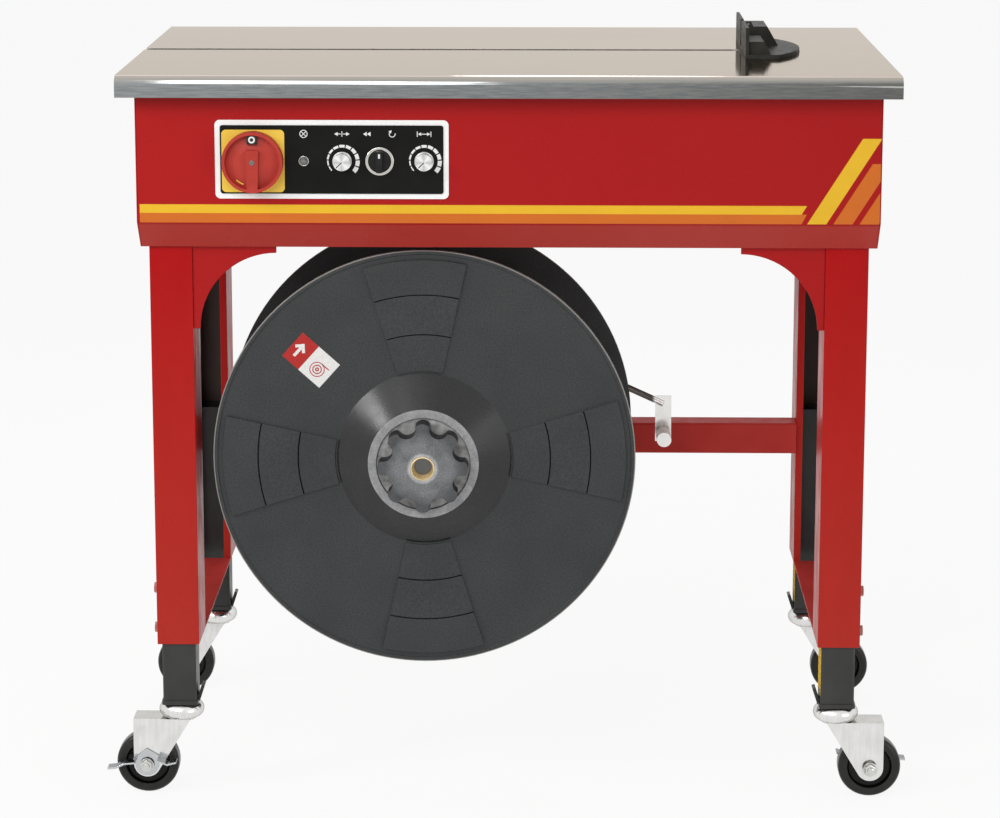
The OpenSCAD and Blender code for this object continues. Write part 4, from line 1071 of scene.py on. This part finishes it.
# Painted highlight: a thin pale ring along the front rim of the flange.
rim_out = from_axis(reel_plastic, reel_x, reel_z, *rim_highlight_band)
rim_front = ramp_along(reel_plastic, "Y", flange_face + rim_depth, flange_face)
cover_with(reel_plastic, both(reel_plastic, rim_out, rim_front), (0.26, 0.25, 0.23))
gloss(reel_plastic, 0.02, smooth=0.40, dull=0.52)
smoother_where(reel_plastic, cone_out, cone_gloss)
peel(reel_plastic, 0.0016, height=0.00005)
dress(reel_plastic, "front_flange", "rear_flange", "reel_core")
break_edges("front_flange", "rear_flange", width=0.0006)
ring_plastic = finish("ring_plastic", (0.33, 0.33, 0.335), roughness=0.42, specular=0.3)
mottle(ring_plastic, 0.012, dark=(0.27, 0.27, 0.275), light=(0.38, 0.38, 0.385), detail=4.0)
mottle(ring_plastic, 0.0018, dark=grey(0.84), light=grey(1.18))
gloss(ring_plastic, 0.006, smooth=0.34, dull=0.5)
peel(ring_plastic, 0.0008, height=0.00002)
dress(ring_plastic, "hub_ring")
break_edges("hub_ring", width=0.0008)
knob_plastic = finish("knob_plastic", grey(0.02), roughness=0.48, specular=0.3)
mottle(knob_plastic, 0.006, dark=grey(0.014), light=grey(0.024))
dusty = ramp_along(knob_plastic, "Y", hand_low.y + dust_depth, hand_low.y + dust_depth / 2)
cover_with(knob_plastic, dusty, (0.18, 0.185, 0.19))
mottle(knob_plastic, 0.014, dark=grey(0.74), light=grey(1.2), detail=5.0)
mottle(knob_plastic, 0.0018, dark=grey(0.72), light=grey(1.2))
lobes = from_axis(knob_plastic, reel_x, reel_z, dusty_r, lobes_r)
shade(knob_plastic, lobes, (0.0, (1, 1, 1)), (1.0, (0.42, 0.43, 0.44)))
# Painted highlight: a lighter ring round the brass bush, where a raised lip would catch the light.
bush_lip_light = from_axis(knob_plastic, reel_x, reel_z, *bush_lip_highlight)
shade(knob_plastic, bush_lip_light, (0.0, grey(2.3)), (1.0, (1, 1, 1)))
gloss(knob_plastic, 0.008, smooth=0.36, dull=0.58)
peel(knob_plastic, 0.0015, height=0.00003)
dress(knob_plastic, "reel_knob")
break_edges("reel_knob", width=0.0012)
brass = finish("brass", (0.92, 0.72, 0.38), roughness=0.36, metallic=0.55)
mottle(brass, 0.004, dark=(0.84, 0.62, 0.30), light=(0.96, 0.78, 0.44))
gloss(brass, 0.003, smooth=0.28, dull=0.42)
peel(brass, 0.0008, height=0.000006)
brass_low, brass_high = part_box("knob_bush")
brass_r = (brass_high.x - brass_low.x) / 2
bore_r = 0.01015
mouth_r = 0.0128
mouth_depth = 0.0125
lip_edge = 0.0006
lathe_steps = 64
smooth_angle = 30


def lathe(outline, place):
    """Turns a closed outline of radius and depth about an axis that runs from front to back."""
    bpy.ops.object.select_all(action="DESELECT")
    bpy.ops.mesh.primitive_circle_add(vertices=len(outline))
    piece = bpy.context.object
    for point, (radius, depth) in zip(piece.data.vertices, outline):
        point.co = (radius, depth, 0)
    bpy.ops.object.mode_set(mode="EDIT")
    bpy.ops.mesh.select_all(action="SELECT")
    bpy.ops.mesh.spin(steps=lathe_steps, angle=2 * math.pi, center=(0, 0, 0), axis=(0, 1, 0))
    bpy.ops.mesh.select_all(action="SELECT")
    bpy.ops.mesh.remove_doubles(threshold=weld_gap)
    bpy.ops.mesh.normals_make_consistent(inside=False)
    bpy.ops.object.mode_set(mode="OBJECT")
    piece.location = place
    bpy.ops.object.transform_apply()
    bpy.ops.object.shade_smooth_by_angle(angle=math.radians(smooth_angle))
    return piece


bush_outline = (
    (bore_r, brass_high.y), (brass_r, brass_high.y), (brass_r, brass_low.y + lip_edge),
    (brass_r - lip_edge, brass_low.y), (mouth_r, brass_low.y), (bore_r, brass_low.y + mouth_depth))
turned_bush = joined("turned_bush", [lathe(bush_outline, (reel_x, 0, reel_z))], brass)
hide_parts("knob_bush")
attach(turned_bush, "hand_knob")
shaft_steel = steel_of("shaft_steel", (0.13, 0.13, 0.127), smooth=0.24, dull=0.40)
dress(shaft_steel, "reel_shaft")
break_edges("reel_shaft", width=0.0008)
plate_dust = finish("plate_dust", (0.22, 0.22, 0.215), roughness=0.5, specular=0.3)
mottle(plate_dust, 0.010, dark=(0.20, 0.20, 0.195), light=(0.52, 0.52, 0.51), detail=5.0)
gloss(plate_dust, 0.006, smooth=0.4, dull=0.6)
peel(plate_dust, 0.002, height=0.00004)
hub_plate = set_down(
    ring_sector(*plate_r, 0, 360), (reel_x, hand_high.y + knob_gap, reel_z), plate_t)
hub_plate = joined("hub_plate", [hub_plate], plate_dust)
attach(hub_plate, "reel_front")


# A paper label on the front flange shows the way the strap leaves the reel:
# a white arrow on a red field, and a red coil with its loose end on a white field.
label_w = 0.058
label_h = 0.037
label_red_w = 0.025
label_t = 0.00012
label_turn = 41.8
label_middle = (-0.2315, 0.5344)
coil_rings = ((0.0010, 0.0024), (0.0044, 0.0056), (0.0080, 0.0090))
coil_drop = 0.0035
tail_len = 0.0110
tail_w = 0.0012
tail_rise = 0.0050
arrow_w = 0.0036
arrow_shift = 0.0020
stem_len = 0.0150
stem_drop = 0.0020
head_len = 0.0110
head_rise = 0.0045
head_spread = 0.0025
head_turn = 45
head_layers = ((-1, 2.3), (1, 2.6))
label_red = ink_of("label_red", (0.45, 0.022, 0.018))
label_white = ink_of("label_white", (0.80, 0.79, 0.77))


def on_label(piece, along, up, layer, turn=0.0):
    """Puts a flat piece on the label, by its place from the label's middle and its layer."""
    angle = math.radians(label_turn)
    x = label_middle[0] + along * math.cos(angle) + up * math.sin(angle)
    z = label_middle[1] - along * math.sin(angle) + up * math.cos(angle)
    return set_down(piece, (x, flange_face - layer * label_t, z), label_t, label_turn + turn)


red_along = (label_red_w - label_w) / 2
white_along = label_red_w / 2
label_back = joined("label_back", [on_label(flat_plate(label_w, label_h), 0, 0, 0)], label_white)
red_pieces = [on_label(flat_plate(label_red_w, label_h), red_along, 0, 1)]
for inner, outer in coil_rings:
    red_pieces.append(on_label(ring_sector(inner, outer, 0, 360), white_along, -coil_drop, 1))
red_pieces.append(on_label(flat_plate(tail_len, tail_w), white_along + tail_len / 2, tail_rise, 1))
label_print = joined("label_print", red_pieces, label_red)
arrow_along = red_along - arrow_shift
arrow_pieces = [on_label(flat_plate(arrow_w, stem_len), arrow_along, -stem_drop, 2)]
for side, layer in head_layers:
    half_head = flat_plate(arrow_w, head_len)
    along = arrow_along + side * head_spread
    arrow_pieces.append(on_label(half_head, along, head_rise, layer, -side * head_turn))
label_arrow = joined("label_arrow", arrow_pieces, label_white)
for piece in (label_back, label_print, label_arrow):
    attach(piece, "reel_front")


# The brake arm is a dark steel rod with a zinc-plated plate at its end that carries a nylon roller.
# It pivots on the reel stand and drags on the reel as the strap runs out.
arm_plate_w = 0.020
arm_weld = 0.004
plate_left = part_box("brake_arm")[1].x - arm_plate_w
arm_steel = steel_of("arm_steel", (0.80, 0.79, 0.77), smooth=0.12, dull=0.24, glancing=(0.70, 0.69, 0.65))
rod = ramp_along(arm_steel, "X", plate_left, plate_left - arm_weld)
cover_with(arm_steel, rod, (0.075, 0.068, 0.062))
dress(arm_steel, "brake_arm")
break_edges("brake_arm", width=0.0005)
roller_nylon = finish("roller_nylon", (0.72, 0.71, 0.68), roughness=0.4, specular=0.4)
mottle(roller_nylon, 0.01, dark=(0.64, 0.63, 0.60), light=(0.76, 0.75, 0.73))
gloss(roller_nylon, 0.004, smooth=0.34, dull=0.48)
dress(roller_nylon, "arm_roller")
break_edges("arm_roller", width=0.0008)


# The drive is shut in the body: a motor, a rubber belt, a cam shaft in cast bearing blocks,
# the sealing head over the cams, the heater's transformer and the control board.
cast = finish("cast_metal", (0.22, 0.23, 0.24), roughness=0.5, metallic=0.6)
mottle(cast, 0.006, dark=(0.17, 0.18, 0.19), light=(0.27, 0.28, 0.29), detail=4.0)
gloss(cast, 0.004, smooth=0.42, dull=0.6)
peel(cast, 0.0015, height=0.00006)
dress(cast, "drive_motor", "bearing_blocks", "sealing_head", "transformer")
dress(bright_steel, "motor_pulley", "cam_shaft")
belt_rubber = finish("belt_rubber", grey(0.02), roughness=0.6, specular=0.3)
mottle(belt_rubber, 0.004, dark=grey(0.015), light=grey(0.03))
peel(belt_rubber, 0.0008, height=0.00004)
dress(belt_rubber, "drive_belt")
board_green = finish("board_green", (0.02, 0.12, 0.045), roughness=0.4, specular=0.4)
mottle(board_green, (0.004, 0.004, 0.002), dark=(0.012, 0.08, 0.03), light=(0.03, 0.15, 0.06), detail=3.0)
gloss(board_green, 0.003, smooth=0.3, dull=0.5)
dress(board_green, "control_board")
